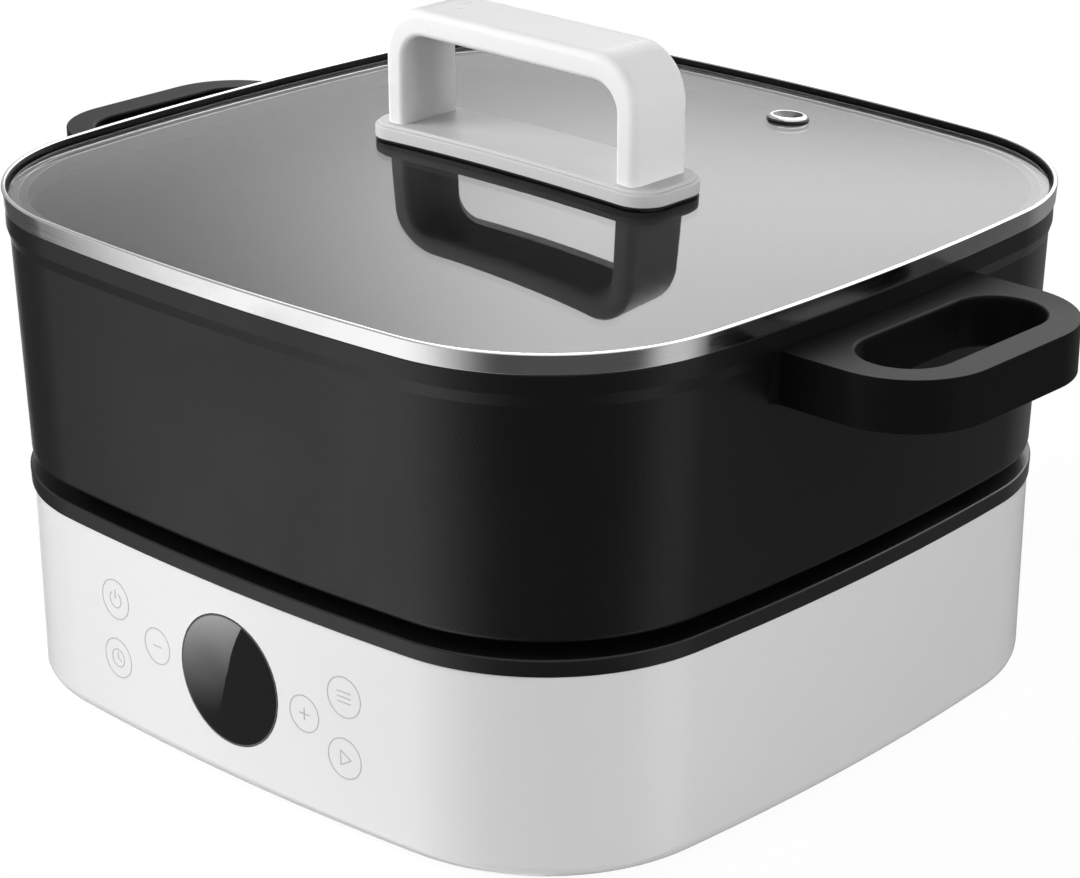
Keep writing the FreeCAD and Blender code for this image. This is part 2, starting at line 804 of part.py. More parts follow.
def sensor_button():
    """Spring-loaded aluminium cap that the pot's underside presses level with the plate."""
    collar_top = button_collar_top()
    foot = collar_top - button_collar_height
    bevel = button_bevel
    inner = button_radius - button_wall
    collar = button_radius + button_collar
    return turned((
        (0, plate_top - button_wall), (inner, plate_top - button_wall), (inner, foot),
        (collar, foot), (collar, collar_top), (button_radius, collar_top),
        (button_radius, plate_top - bevel), (button_radius - bevel, plate_top), (0, plate_top),
    ))


def sensor_spring():
    """Coil spring between the guide's floor and the button's cap, its turns made of short arcs."""
    bottom = guide_top() - guide_depth + guide_wall + spring_wire_radius
    top = plate_top - button_wall - spring_wire_radius
    count = spring_turns * spring_turn_arcs
    points = []
    for index in range(2 * count + 1):
        angle = math.pi * index / spring_turn_arcs
        height = bottom + (top - bottom) * index / (2 * count)
        points.append(Vector(spring_radius * math.cos(angle), spring_radius * math.sin(angle), height))
    edges = []
    for index in range(count):
        edges.append(Part.Arc(*points[2 * index:2 * index + 3]).toShape())
    start = edges[0].valueAt(edges[0].FirstParameter)
    direction = edges[0].tangentAt(edges[0].FirstParameter)
    section = Part.Wire(Part.makeCircle(spring_wire_radius, start, direction))
    return Part.Wire(edges).makePipe(Part.Face(section))


def display_lens():
    """Gloss black window that follows the shell's bowed front, with a flange behind it."""
    wall = prism(0, shell_bottom, shell_top)
    depth = shell_wall + over + display_lip_thick
    window = along_y(0, -body_half - over, display_height, display_radius, depth)
    flange_depth = over + display_lip_thick
    flange_radius = display_radius + display_lip
    flange = along_y(0, front_wall_inside - over, display_height, flange_radius, flange_depth)
    return window.common(wall).fuse(flange.common(shell_cavity())).removeSplitter()


def display_module():
    """Light box of the display between the lens and the control board."""
    front = front_wall_inside + display_lip_thick
    radius = display_radius - display_box_inset
    return along_y(0, front, display_height, radius, board_front - front)


def control_board():
    """Circuit board behind the front wall with two screw holes."""
    size = (2 * board_half_width, board_thick, 2 * board_half_height)
    board = block(0, board_front + board_thick / 2, display_height - board_half_height, size)
    hole_radius = small_screw_radius + slip_gap
    depth = board_thick + 2 * over
    for x in (-board_screw_spread, board_screw_spread):
        board = board.cut(along_y(x, board_front - over, display_height, hole_radius, depth))
    return board


def touch_pads():
    """Six conductive pads that press from the board against the shell behind the keys."""
    pads = []
    for x, z in key_places():
        pad = along_y(x, -body_half, z, key_pad_radius, board_front + body_half)
        pads.append(pad.common(shell_cavity()))
    return pads


def board_screws():
    """Two screws that hold the control board on its bosses."""
    length = board_thick + board_screw_grip
    one = screw(small_head_radius, small_head_height, small_screw_radius, length)
    screws = []
    for x in (-board_screw_spread, board_screw_spread):
        place = Vector(x, board_back, display_height)
        screws.append(aimed(one, place, Vector(0, -1, 0)))
    return screws


def power_screw_places():
    """Places of the power board's screws."""
    half_x = power_board_size[0] / 2 - power_board_margin
    half_y = power_board_size[1] / 2 - power_board_margin
    cx, cy = power_board_centre
    return [(cx + sx * half_x, cy + sy * half_y) for sx in (-1, 1) for sy in (-1, 1)]


def power_board():
    """Circuit board that switches the element."""
    size = (power_board_size[0], power_board_size[1], board_thick)
    board = block(power_board_centre[0], power_board_centre[1], power_board_bottom, size)
    hole_radius = small_screw_radius + slip_gap
    for x, y in power_screw_places():
        board = board.cut(disc(x, y, power_board_bottom - over, power_board_top + over, hole_radius))
    return board


def power_board_screws():
    """Four screws of the power board."""
    length = board_thick + power_screw_grip
    one = screw(small_head_radius, small_head_height, small_screw_radius, length)
    down = Vector(0, 0, -1)
    return [aimed(one, Vector(x, y, power_board_top), down) for x, y in power_screw_places()]


def on_board(place):
    """Point on the power board, given as shares of its half length and half width."""
    x = power_board_centre[0] + place[0] * power_board_size[0] / 2
    y = power_board_centre[1] + place[1] * power_board_size[1] / 2
    return x, y


def board_relay():
    """Power relay."""
    x, y = on_board(relay_place)
    return block(x, y, power_board_top, relay_size)


def board_transformer():
    """Small transformer of the low-voltage supply: a core with its winding."""
    x, y = on_board(transformer_place)
    core = block(x, y, power_board_top, transformer_size)
    return core.fuse(block(x, y, power_board_top + winding_rise, winding_size))


def board_capacitors():
    """Two electrolytic capacitors."""
    cans = []
    for place in capacitor_places:
        x, y = on_board(place)
        can = disc(x, y, power_board_top, power_board_top + capacitor_height, capacitor_radius)
        cans.append(can)
    return cans


def terminal_block():
    """Screw terminals for the mains and element leads."""
    x, y = on_board(terminal_place)
    body = block(x, y, power_board_top, terminal_size)
    top = power_board_top + terminal_size[2]
    pitch = terminal_size[0] / terminal_count
    for index in range(terminal_count):
        hole_x = x + (index - (terminal_count - 1) / 2) * pitch
        hole = disc(hole_x, y, top - terminal_hole_depth, top + over, terminal_hole_radius)
        body = body.cut(hole)
    return body


def inlet_block(half_width, half_height, y_from, y_to):
    """Box along Y round the inlet's centre line."""
    origin = Vector(-half_width, y_from, inlet_height - half_height)
    return Part.makeBox(2 * half_width, y_to - y_from, 2 * half_height, origin)


def power_inlet():
    """Appliance inlet: a flanged socket body, open to the back, with slots for three blades."""
    face = body_half + inlet_flange_thick
    back = body_half - inlet_body_depth
    wire = rounded_rectangle(inlet_flange_half, inlet_flange_rise, inlet_corner, 0)
    flange = Part.Face(wire).extrude(Vector(0, 0, inlet_flange_thick))
    flange = aimed_flat(flange, body_half)
    body = inlet_block(inlet_body_half, inlet_body_rise, back, body_half)
    corner_edges = []
    for edge in body.Edges:
        if edge.BoundBox.YLength > over:
            corner_edges.append(edge)
    body = body.makeFillet(inlet_body_corner, corner_edges)
    inlet = flange.fuse(body)
    hollow_half = inlet_body_half - inlet_wall
    hollow_rise = inlet_body_rise - inlet_wall
    hollow = inlet_block(hollow_half, hollow_rise, back + inlet_floor, face + over)
    inlet = inlet.cut(hollow)
    for blade in blade_boxes(slip_gap):
        inlet = inlet.cut(blade)
    hole_radius = small_screw_radius + slip_gap
    hole_depth = inlet_flange_thick + 2 * over
    for x in (-inlet_screw_spread, inlet_screw_spread):
        inlet = inlet.cut(along_y(x, body_half - over, inlet_height, hole_radius, hole_depth))
    return inlet.removeSplitter()


def aimed_flat(solid, wall_y):
    """Turn a level plate upright, its rear face on the plane y = wall_y, at the inlet's height."""
    copy = solid.copy()
    copy.rotate(Vector(), Vector(1, 0, 0), -90)
    copy.translate(Vector(0, wall_y, inlet_height))
    return copy


def blade_boxes(clearance=0.0):
    """The inlet's three blades, or the slots they pass through when a clearance is given."""
    tip = body_half + inlet_flange_thick - blade_recess
    tail = body_half - inlet_body_depth - blade_tail
    boxes = []
    for index in (-1, 0, 1):
        z = inlet_height + (-earth_offset if index else earth_offset)
        width = blade_size[0] + 2 * clearance
        height = blade_size[1] + 2 * clearance
        origin = Vector(index * blade_pitch - width / 2, tail, z - height / 2)
        boxes.append(Part.makeBox(width, tip - tail, height, origin))
    return boxes


def inlet_screws():
    """Two screws through the inlet's flange into the shell's bosses."""
    length = inlet_flange_thick + shell_wall + inlet_boss_length - inlet_boss_floor - seat_gap
    one = screw(small_head_radius, inlet_head_height, small_screw_radius, length)
    face = body_half + inlet_flange_thick
    screws = []
    for x in (-inlet_screw_spread, inlet_screw_spread):
        screws.append(aimed(one, Vector(x, face, inlet_height), Vector(0, -1, 0)))
    return screws


# ================================================================ pot
def pot_outside():
    """Outer form of the pot: leaning wall, raised base below and a lip round the top."""
    wall = tier(pot_foot_grow, pot_bottom, pot_top_grow, pot_lip_bottom + pot_lip_root)
    wall = wall.makeFillet(pot_heel_radius, outline_edges(wall, pot_foot_grow, pot_bottom))
    slope = tier(pot_top_grow, pot_lip_bottom, pot_lip_grow, pot_lip_bottom + pot_lip_root)
    lip = prism(pot_lip_grow, pot_lip_bottom + pot_lip_root, pot_top)
    lip = lip.makeFillet(pot_lip_radius, outline_edges(lip, pot_lip_grow, pot_top))
    base = prism(-pot_base_inset, plate_top, pot_bottom + over)
    base = base.makeFillet(pot_base_radius, outline_edges(base, -pot_base_inset, plate_top))
    return wall.fuse([slope, lip, base])


def pot_inside():
    """Room inside the pot."""
    lower_grow = pot_foot_grow - pot_wall
    upper_grow = pot_top_grow - pot_wall
    room = tier(lower_grow, pot_inside_bottom, upper_grow, pot_top)
    room = room.makeFillet(pot_inner_radius, outline_edges(room, lower_grow, pot_inside_bottom))
    return room.fuse(prism(upper_grow, pot_top, pot_top + over))


def loop_boss(side, grow=0.0):
    """The two bosses on one side of the pot that carry a side handle."""
    length = pot_wall + loop_boss_length + grow
    bosses = []
    for y in (-loop_boss_spread, loop_boss_spread):
        start = Vector(side * (body_half - pot_wall), y, loop_middle)
        boss = Part.makeCylinder(loop_boss_radius + grow, length, start, Vector(side, 0, 0))
        bosses.append(boss)
    return bosses


def pot_body():
    """Cast pot with bosses for its side handles."""
    pot = pot_outside()
    for side in (-1, 1):
        pot = pot.fuse(loop_boss(side))
    pot = pot.cut(pot_inside())
    hole_radius = loop_screw_radius + slip_gap
    hole_depth = loop_boss_length - loop_boss_floor + over
    for side in (-1, 1):
        for y in (-loop_boss_spread, loop_boss_spread):
            start = Vector(side * (body_half + loop_boss_length + over), y, loop_middle)
            inward = Vector(-side, 0, 0)
            pot = pot.cut(Part.makeCylinder(hole_radius, hole_depth, start, inward))
    return pot.removeSplitter()


def loop_outline(z):
    """Plan of the right side handle: a round-cornered loop that flares where it meets the pot."""
    root = body_half - loop_root_depth
    wall = body_half
    reach = body_half + loop_reach
    half = loop_half_width
    flare = loop_flare
    r = loop_corner
    bend = math.sqrt(0.5)
    edges = []
    for side in (-1, 1):
        foot = Vector(wall, side * (half + flare), z)
        flare_middle = Vector(wall + flare * (1 - bend), side * (half + flare * (1 - bend)), z)
        flare_end = Vector(wall + flare, side * half, z)
        corner_start = Vector(reach - r, side * half, z)
        corner_middle = Vector(reach - r * (1 - bend), side * (half - r * (1 - bend)), z)
        corner_end = Vector(reach, side * (half - r), z)
        edges.append(Part.makeLine(Vector(root, side * (half + flare), z), foot))
        edges.append(Part.Arc(foot, flare_middle, flare_end).toShape())
        edges.append(Part.makeLine(flare_end, corner_start))
        edges.append(Part.Arc(corner_start, corner_middle, corner_end).toShape())
    edges.append(Part.makeLine(Vector(reach, -(half - r), z), Vector(reach, half - r, z)))
    edges.append(Part.makeLine(Vector(root, half + flare, z), Vector(root, -(half + flare), z)))
    return Part.Wire(Part.__sortEdges__(edges))


def side_handle():
    """Right side handle: a loop with a long slot, trimmed to the pot's wall and lip."""
    loop = Part.Face(loop_outline(loop_bottom)).extrude(Vector(0, 0, loop_height))
    root = body_half - loop_root_depth

    def outside(middle):
        return middle.x > root + over and abs(middle.y) < loop_half_width + loop_flare - seat_gap

    loop = loop.makeFillet(loop_top_radius, level_edges(loop, loop_top, outside))
    loop = loop.makeFillet(loop_bottom_radius, level_edges(loop, loop_bottom, outside))
    half = slot_width / 2
    slot = rounded_block(half, slot_half_width, half, loop_bottom - over, loop_top + over)
    slot_x = body_half + slot_near + half
    loop = loop.cut(moved(slot, slot_x, 0, 0))

    def on_slot(middle):
        return abs(middle.x - slot_x) < half + slip_gap and abs(middle.y) < slot_half_width + slip_gap

    rims = level_edges(loop, loop_top, on_slot) + level_edges(loop, loop_bottom, on_slot)
    loop = loop.makeFillet(slot_edge_radius, rims)
    loop = loop.cut(pot_outside())
    for boss in loop_boss(1, seat_gap):
        loop = loop.cut(boss)
    head_seat = loop_head_seat()
    for y in (-loop_boss_spread, loop_boss_spread):
        shank_hole = along_x(body_half, y, loop_screw_radius + slip_gap, loop_reach / 2)
        head_hole = along_x(head_seat, y, loop_head_radius + seat_gap, slot_near)
        loop = loop.cut(shank_hole).cut(head_hole)
    return loop


def along_x(x, y, radius, length):
    """Cylinder from a point toward +X at the side handles' middle height."""
    return Part.makeCylinder(radius, length, Vector(x, y, loop_middle), Vector(1, 0, 0))


def loop_head_seat():
    """X of the face inside the side handle that a screw's head rests on."""
    return body_half + loop_boss_length + seat_gap + loop_web


def side_handle_screws():
    """Four screws from the handles' slots into the pot's bosses."""
    length = loop_screw_length
    one = screw(loop_head_radius, loop_head_height, loop_screw_radius, length)
    screws = []
    for side in (-1, 1):
        for y in (-loop_boss_spread, loop_boss_spread):
            place = Vector(side * loop_head_seat(), y, loop_middle)
            screws.append(aimed(one, place, Vector(-side, 0, 0)))
    return screws


# ================================================================ lid
def glass_top(x, y):
    """Height of the glass's upper face."""
    return dome_base + dome_rise * (1 - (x / dome_half) ** 2) * (1 - (y / dome_half) ** 2)


def dome_face(lift):
    """The glass's upper face as one biquadratic patch, raised by lift."""
    patch = Part.BezierSurface()
    patch.increase(2, 2)
    weights = (0, 2, 0)
    for row in range(3):
        for column in range(3):
            x = dome_half * (row - 1)
            y = dome_half * (column - 1)
            z = dome_base + lift + dome_rise * weights[row] * weights[column]
            patch.setPole(row + 1, column + 1, Vector(x, y, z))
    return patch.toShape()


def dome_slab(bottom_lift, top_lift):
    """Layer between two copies of the glass's upper face."""
    return dome_face(bottom_lift).extrude(Vector(0, 0, top_lift - bottom_lift))


def vent_direction():
    """Direction square to the glass at the steam vent."""
    slope_x = -2 * dome_rise * vent_x / dome_half**2 * (1 - (vent_y / dome_half) ** 2)
    slope_y = -2 * dome_rise * vent_y / dome_half**2 * (1 - (vent_x / dome_half) ** 2)
    return Vector(-slope_x, -slope_y, 1).normalize()


def at_vent(solid):
    """Put a solid made round Z, with z = 0 on the glass, at the steam vent."""
    return aimed(solid, Vector(vent_x, vent_y, glass_top(vent_x, vent_y)), vent_direction())


def lid_glass():
    """Domed pane with holes for the handle's screws and the steam vent."""
    glass = dome_slab(-glass_thick, 0).common(prism(glass_grow, lid_low, lid_high))
    for x in handle_screw_places():
        glass = glass.cut(disc(x, 0, lid_low, lid_high, glass_hole_radius))
    vent_hole = disc(0, 0, -2 * glass_thick, glass_thick, vent_tube_radius + seat_gap)
    return glass.cut(at_vent(vent_hole))


def lid_rim():
    """Steel channel round the glass: leaning outer face, flange below and a locating skirt."""
    foot = rim_grow
    head = rim_grow + rim_flare
    outer = tier(foot, rim_bottom, head, rim_top)
    flange_inner = rim_grow - rim_flange_width
    skirt_outer = flange_inner + rim_skirt_thick
    inner_wall = glass_grow + seat_gap
    skirt_bottom = rim_bottom - rim_skirt_depth
    skirt = prism(skirt_outer, skirt_bottom, rim_bottom + rim_flange_thick)
    rim = outer.cut(prism(inner_wall, rim_bottom + rim_flange_thick, rim_top + over))
    rim = rim.fuse(skirt).cut(prism(flange_inner, skirt_bottom - over, rim_top + over))
    edge_radius = (head - inner_wall) * rim_edge_share
    rim = rim.makeFillet(edge_radius, outline_edges(rim, head, rim_top))
    rim = rim.makeFillet(edge_radius, outline_edges(rim, inner_wall, rim_top))
    return rim.removeSplitter()


def handle_screw_places():
    """X of the two handle screws: the middle of each leg."""
    reach = handle_half_length - handle_leg / 2
    return (-reach, reach)


def handle_gasket():
    """Silicone gasket under the handle plate."""
    half_x = handle_half_length + plate_margin_length - gasket_inset
    half_y = handle_depth / 2 + plate_margin_depth - gasket_inset
    gasket = rounded_block(half_x, half_y, plate_corner - gasket_inset, lid_low, lid_high)
    gasket = gasket.common(dome_slab(dome_gap, gasket_thick))
    for x in handle_screw_places():
        gasket = gasket.cut(disc(x, 0, lid_low, lid_high, handle_screw_radius + slip_gap))
    return gasket


def handle_plate():
    """Light grey foot of the handle, following the dome, with a small step round its top."""
    half_x = handle_half_length + plate_margin_length
    half_y = handle_depth / 2 + plate_margin_depth
    step_bottom = gasket_thick + plate_foot_thick
    foot = rounded_block(half_x, half_y, plate_corner, lid_low, lid_high)
    foot = foot.common(dome_slab(gasket_thick + dome_gap, step_bottom))
    half_x -= plate_step_inset
    half_y -= plate_step_inset
    step = rounded_block(half_x, half_y, plate_corner - plate_step_inset, lid_low, lid_high)
    plate = foot.fuse(step.common(dome_slab(step_bottom, plate_step_top)))
    for x in handle_screw_places():
        plate = plate.cut(disc(x, 0, lid_low, lid_high, handle_screw_radius + slip_gap))
    return plate


def arch(half_length, top, radius, depth):
    """Upright arch along X: a slab with two round upper corners, reaching well below the plate."""
    bottom = rim_bottom
    x = half_length - radius
    z = top - radius
    bend = radius * math.sqrt(0.5)
    left_foot = Vector(-half_length, -depth / 2, bottom)
    left_shoulder = Vector(-half_length, -depth / 2, z)
    left_crown = Vector(-x, -depth / 2, top)
    right_crown = Vector(x, -depth / 2, top)
    right_shoulder = Vector(half_length, -depth / 2, z)
    right_foot = Vector(half_length, -depth / 2, bottom)
    left_bend = Vector(-x - bend, -depth / 2, z + bend)
    right_bend = Vector(x + bend, -depth / 2, z + bend)
    wire = Part.Wire([
        Part.makeLine(left_foot, left_shoulder),
        Part.Arc(left_shoulder, left_bend, left_crown).toShape(),
        Part.makeLine(left_crown, right_crown),
        Part.Arc(right_crown, right_bend, right_shoulder).toShape(),
        Part.makeLine(right_shoulder, right_foot),
        Part.makeLine(right_foot, left_foot),
    ])
    return Part.Face(wire).extrude(Vector(0, depth, 0))


def arch_rims(solid, depth):
    """Edges of the arch's front and back faces, without those along its foot."""
    found = []
    for edge in solid.Edges:
        box = edge.BoundBox
        on_face = box.YLength < level_slack and abs(abs(box.YMin) - depth / 2) < level_slack
        if on_face and box.ZMax > rim_bottom + over:
            found.append(edge)
    return found


def lid_handle():
    """White bridge handle on two legs that stand on the handle plate."""
    outer = arch(handle_half_length, handle_top, handle_outer_radius, handle_depth)
    outer = outer.makeFillet(handle_edge_radius, arch_rims(outer, handle_depth))
    gap_half = handle_half_length - handle_leg
    gap_top = handle_top - handle_bridge
    handle = outer.cut(arch(gap_half, gap_top, handle_inner_radius, handle_depth))
    inner_edges = []
    for edge in arch_rims(handle, handle_depth):
        box = edge.BoundBox
        beside_gap = max(box.XMax, -box.XMin) < gap_half + slip_gap
        if beside_gap and box.ZMax < gap_top + slip_gap:
            inner_edges.append(edge)
    handle = handle.makeFillet(handle_inner_edge_radius, inner_edges)
    handle = handle.cut(dome_slab(-handle_rise, plate_step_top + dome_gap))
    for x in handle_screw_places():
        top = washer_seat(x) + handle_screw_length + over
        handle = handle.cut(disc(x, 0, lid_low, top, handle_screw_radius + slip_gap))
    return handle


def washer_seat(x):
    """Height of a washer's flat underside below the glass."""
    return glass_top(abs(x) + washer_radius, washer_radius) - glass_thick - washer_thick


def handle_washers():
    """Two silicone washers between the handle's screws and the glass."""
    washers = []
    below_glass = dome_slab(-glass_thick - dome_rise, -glass_thick - dome_gap)
    for x in handle_screw_places():
        washer = disc(x, 0, washer_seat(x), lid_high, washer_radius)
        washer = washer.cut(disc(x, 0, lid_low, lid_high, handle_screw_radius + slip_gap))
        washers.append(washer.common(below_glass))
    return washers


def lid_handle_screws():
    """Two screws up through the glass and the plate into the handle's legs."""
    one = screw(handle_head_radius, handle_head_height, handle_screw_radius, handle_screw_length)
    return [moved(one, x, 0, washer_seat(x)) for x in handle_screw_places()]


def steam_vent():
    """Steel eyelet with a funnel mouth and a small steam bore."""
    base = vent_seal_thick + vent_flat_gap
    top = base + vent_flange_thick
    bottom = -glass_thick - vent_nut_thick - vent_tube_reach
    bevel = vent_flange_bevel
    return at_vent(turned((
        (vent_bore_radius, bottom), (vent_tube_radius, bottom), (vent_tube_radius, base),
        (vent_flange_radius, base), (vent_flange_radius, top - bevel),
        (vent_flange_radius - bevel, top), (vent_funnel_radius, top),
        (vent_bore_radius, top - vent_funnel_depth),
    )))


def vent_seal():
    """Black silicone ring between the eyelet and the glass."""
    low = vent_flat_gap
    high = vent_flat_gap + vent_seal_thick
    inner = vent_tube_radius + slip_gap
    return at_vent(turned((
        (inner, low), (vent_seal_radius, low), (vent_seal_radius, high), (inner, high),
    )))


def vent_nut():
    """Round nut that holds the eyelet under the glass."""
    high = -glass_thick - vent_flat_gap
    low = high - vent_nut_thick
    inner = vent_tube_radius + slip_gap
    bevel = vent_nut_bevel
    return at_vent(turned((
        (inner, low), (vent_nut_radius - bevel, low), (vent_nut_radius, low + bevel),
        (vent_nut_radius, high), (inner, high),
    )))


# ================================================================ nodes
NODES = {
    "base_shell": base_shell,
    "bottom_cover": bottom_cover,
    "feet": feet,
    "cover_screws": cover_screws,
    "top_deck": top_deck,
    "heating_plate": heating_plate,
    "heating_element": heating_element,
    "plate_seal": plate_seal,
    "heat_shield": heat_shield,
    "shield_screws": shield_screws,
    "plate_posts": plate_posts,
    "plate_screws": plate_screws,
    "thermostat": thermostat,
    "sensor_guide": sensor_guide,
    "sensor_button": sensor_button,
    "sensor_spring": sensor_spring,
    "display_lens": display_lens,
    "display_module": display_module,
    "control_board": control_board,
    "touch_pads": touch_pads,
    "board_screws": board_screws,
    "power_board": power_board,
    "power_board_screws": power_board_screws,
    "board_relay": board_relay,
    "board_transformer": board_transformer,
    "board_capacitors": board_capacitors,
    "terminal_block": terminal_block,
    "power_inlet": power_inlet,
    "inlet_blades": blade_boxes,
    "inlet_screws": inlet_screws,
    "pot_body": pot_body,
    "side_handle_right": side_handle,
    "side_handle_left": lambda: spun(side_handle(), 180),
    "side_handle_screws": side_handle_screws,
    "lid_glass": lid_glass,
    "lid_rim": lid_rim,
    "lid_handle": lid_handle,
    "handle_plate": handle_plate,
    "handle_gasket": handle_gasket,
    "handle_washers": handle_washers,
    "lid_handle_screws": lid_handle_screws,
    "steam_vent": steam_vent,
    "vent_seal": vent_seal,
    "vent_nut": vent_nut,
}


def main():
    """Build every node and write it to its STEP file."""
    os.makedirs("parts", exist_ok=True)
    for name, make in NODES.items():
        made = make()
        solids = made if isinstance(made, list) else [made]
        pieces = [solid for item in solids for solid in item.Solids]
        shape = pieces[0] if len(pieces) == 1 else Part.makeCompound(pieces)
        shape.exportStep(f"parts/{name}.step")
        volume = sum(piece.Volume for piece in pieces)
        print(f"{name}: {len(pieces)} solid(s), {volume / 1000:.2f} cm3")


main()
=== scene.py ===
"""Electric hot pot with a lift-off pot and a glass lid: its surfaces, finishes, light and camera.

Meshes are in metres and the makers' sizes in millimetres. Z is up, the display faces -Y and the
pot's handles point along X.
"""

import logging
import math
from dataclasses import dataclass
from enum import Enum
from typing import Callable

import bmesh
import bpy
from mathutils import Matrix, Vector


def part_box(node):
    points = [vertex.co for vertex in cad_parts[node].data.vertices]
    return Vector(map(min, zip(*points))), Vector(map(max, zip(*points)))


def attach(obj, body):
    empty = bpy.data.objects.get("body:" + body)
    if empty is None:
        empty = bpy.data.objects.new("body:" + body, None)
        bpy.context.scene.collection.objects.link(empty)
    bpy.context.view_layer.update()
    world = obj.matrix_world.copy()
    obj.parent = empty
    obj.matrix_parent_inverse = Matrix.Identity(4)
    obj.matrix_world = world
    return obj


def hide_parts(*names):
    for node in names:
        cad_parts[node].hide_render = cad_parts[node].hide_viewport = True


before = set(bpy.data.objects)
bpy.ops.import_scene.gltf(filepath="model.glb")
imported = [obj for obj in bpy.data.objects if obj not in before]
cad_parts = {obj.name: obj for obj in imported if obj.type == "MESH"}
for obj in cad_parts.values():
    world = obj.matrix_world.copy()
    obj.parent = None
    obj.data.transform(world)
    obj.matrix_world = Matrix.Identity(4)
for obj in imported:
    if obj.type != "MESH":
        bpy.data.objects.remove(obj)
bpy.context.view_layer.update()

MM = 0.001
FULL_TURN = 2 * math.pi
QUARTER = math.pi / 2
WELD = 1e-6  # vertices nearer than this become one
NEAR = 1e-5  # slack of the tests on places and heights
SHARP = 1.2  # angle from which an edge of a pad or a bar is rounded
SMOOTH = math.radians(32.0)  # angle up to which faces are shaded as one
WALL_CUT = 30.0 * MM  # length of a cutter through the shell or the deck
GLASS_CUT = 20.0 * MM  # length of a cutter through the glass
UP = Vector((0, 0, 1))
log = logging.getLogger("hot_pot")

Piece = bpy.types.Object
Socket = bpy.types.NodeSocket
Point = tuple[float, float]
Corner = tuple[float, float, float]
Colour = tuple[float, float, float]


class Body(Enum):
    """The bodies that pieces ride on."""

    BASE = "base"
    POT = "pot"
    LID = "lid"


class Element(Enum):
    """The kinds of mesh element that can be picked."""

    VERTS = "VERT"
    EDGES = "EDGE"


# ------------------------------------------------------------------ plans and profiles
class Plan:
    """A closed plan round the origin that a square's edge can be carried over to."""

    def rim_point(self, u: float, v: float, grow: float) -> Point:
        """Point on the outline that a point of a square's edge stands for.

        Args:
            u: Square's coordinate along X, from -1 to 1.
            v: Square's coordinate along Y, from -1 to 1.
            grow: How far outside the outline.

        Returns:
            X and Y of the point.
        """
        upright = abs(u) >= abs(v)
        along, across = (v, u) if upright else (u, v)
        far, near = self._reach(abs(along), upright, grow)
        far = math.copysign(far, across)
        near = math.copysign(near, along)
        return (far, near) if upright else (near, far)

    def _reach(self, share: float, upright: bool, grow: float) -> Point:
        """Point between the middle of a side and the diagonal.

        Args:
            share: How much of that way is done, from 0 to 1.
            upright: Whether the side runs along Y.
            grow: How far outside the outline.

        Returns:
            How far the point lies out from the centre and along the side.
        """
        raise NotImplementedError


@dataclass(frozen=True)
class PlanOutline(Plan):
    """The plan that base, pot and lid share: four bowed sides and four round corners.

    Attributes:
        half: Centre to the middle of a side.
        corner: Radius of the corners.
        bow: Radius of the sides.
    """

    half: float = 145.0 * MM
    corner: float = 68.0 * MM
    bow: float = 971.0 * MM

    @property
    def bow_offset(self) -> float:
        """Distance from the centre back to a side's own centre."""
        return self.bow - self.half

    @property
    def corner_centre(self) -> float:
        """X and Y of a corner's centre."""
        reach = self.bow - self.corner
        return (math.sqrt(2 * reach**2 - self.bow_offset**2) - self.bow_offset) / 2

    @property
    def turn(self) -> float:
        """Half the angle that a side turns through."""
        return math.atan2(self.corner_centre, self.corner_centre + self.bow_offset)

    def front(self, x: float) -> float:
        """Y of the front wall at x."""
        return self.bow_offset - math.sqrt(self.bow**2 - x**2)

    def _reach(self, share: float, upright: bool, grow: float) -> Point:
        """Point on a bowed side or its corner.

        Args:
            share: How much of the way from the middle of a side is done.
            upright: Unused, because all four sides are alike.
            grow: How far outside the outline.

        Returns:
            How far the point lies out from the centre and along the side.
        """
        bow = self.bow + grow
        corner = self.corner + grow
        straight = bow * self.turn
        travel = share * (straight + corner * (math.pi / 4 - self.turn))
        if travel <= straight:
            return bow * math.cos(travel / bow) - self.bow_offset, bow * math.sin(travel / bow)
        angle = self.turn + (travel - straight) / corner
        centre = self.corner_centre
        return centre + corner * math.cos(angle), centre + corner * math.sin(angle)


@dataclass(frozen=True)
class RoundedRectangle(Plan):
    """A level rectangle with round corners.

    Attributes:
        half_x: Half its length.
        half_y: Half its width.
        radius: Radius of the corners.
    """

    half_x: float
    half_y: float
    radius: float

    def _reach(self, share: float, upright: bool, grow: float) -> Point:
        """Point on a straight side or its corner.

        Args:
            share: How much of the way from the middle of a side is done.
            upright: Whether the side runs along Y.
            grow: How far outside the outline.

        Returns:
            How far the point lies out from the centre and along the side.
        """
        out = (self.half_x if upright else self.half_y) + grow
        side = (self.half_y if upright else self.half_x) + grow
        radius = self.radius + grow
        straight = side - radius
        travel = share * (straight + radius * math.pi / 4)
        if travel <= straight:
            return out, travel
        angle = (travel - straight) / radius
        return out - radius + radius * math.cos(angle), side - radius + radius * math.sin(angle)


@dataclass(frozen=True)
class Dome:
    """The glass's upper face: a flat cushion over a square.

    Attributes:
        base: Height at the square's edge.
        rise: Height of the crown above that.
        half: Half the square's side.
    """

    base: float = 174.994 * MM
    rise: float = 7.9 * MM
    half: float = 158.0 * MM

    def height(self, x: float, y: float) -> float:
        """Height of the face at a place.

        Args:
            x: X of the place.
            y: Y of the place.

        Returns:
            The height in metres.
        """
        return self.base + self.rise * (1 - (x / self.half) ** 2) * (1 - (y / self.half) ** 2)

    def normal(self, x: float, y: float) -> Vector:
        """Direction square to the face at a place.

        Args:
            x: X of the place.
            y: Y of the place.

        Returns:
            The direction, of length 1.
        """
        slope_x = -2 * self.rise * x / self.half**2 * (1 - (y / self.half) ** 2)
        slope_y = -2 * self.rise * y / self.half**2 * (1 - (x / self.half) ** 2)
        return Vector((-slope_x, -slope_y, 1)).normalized()


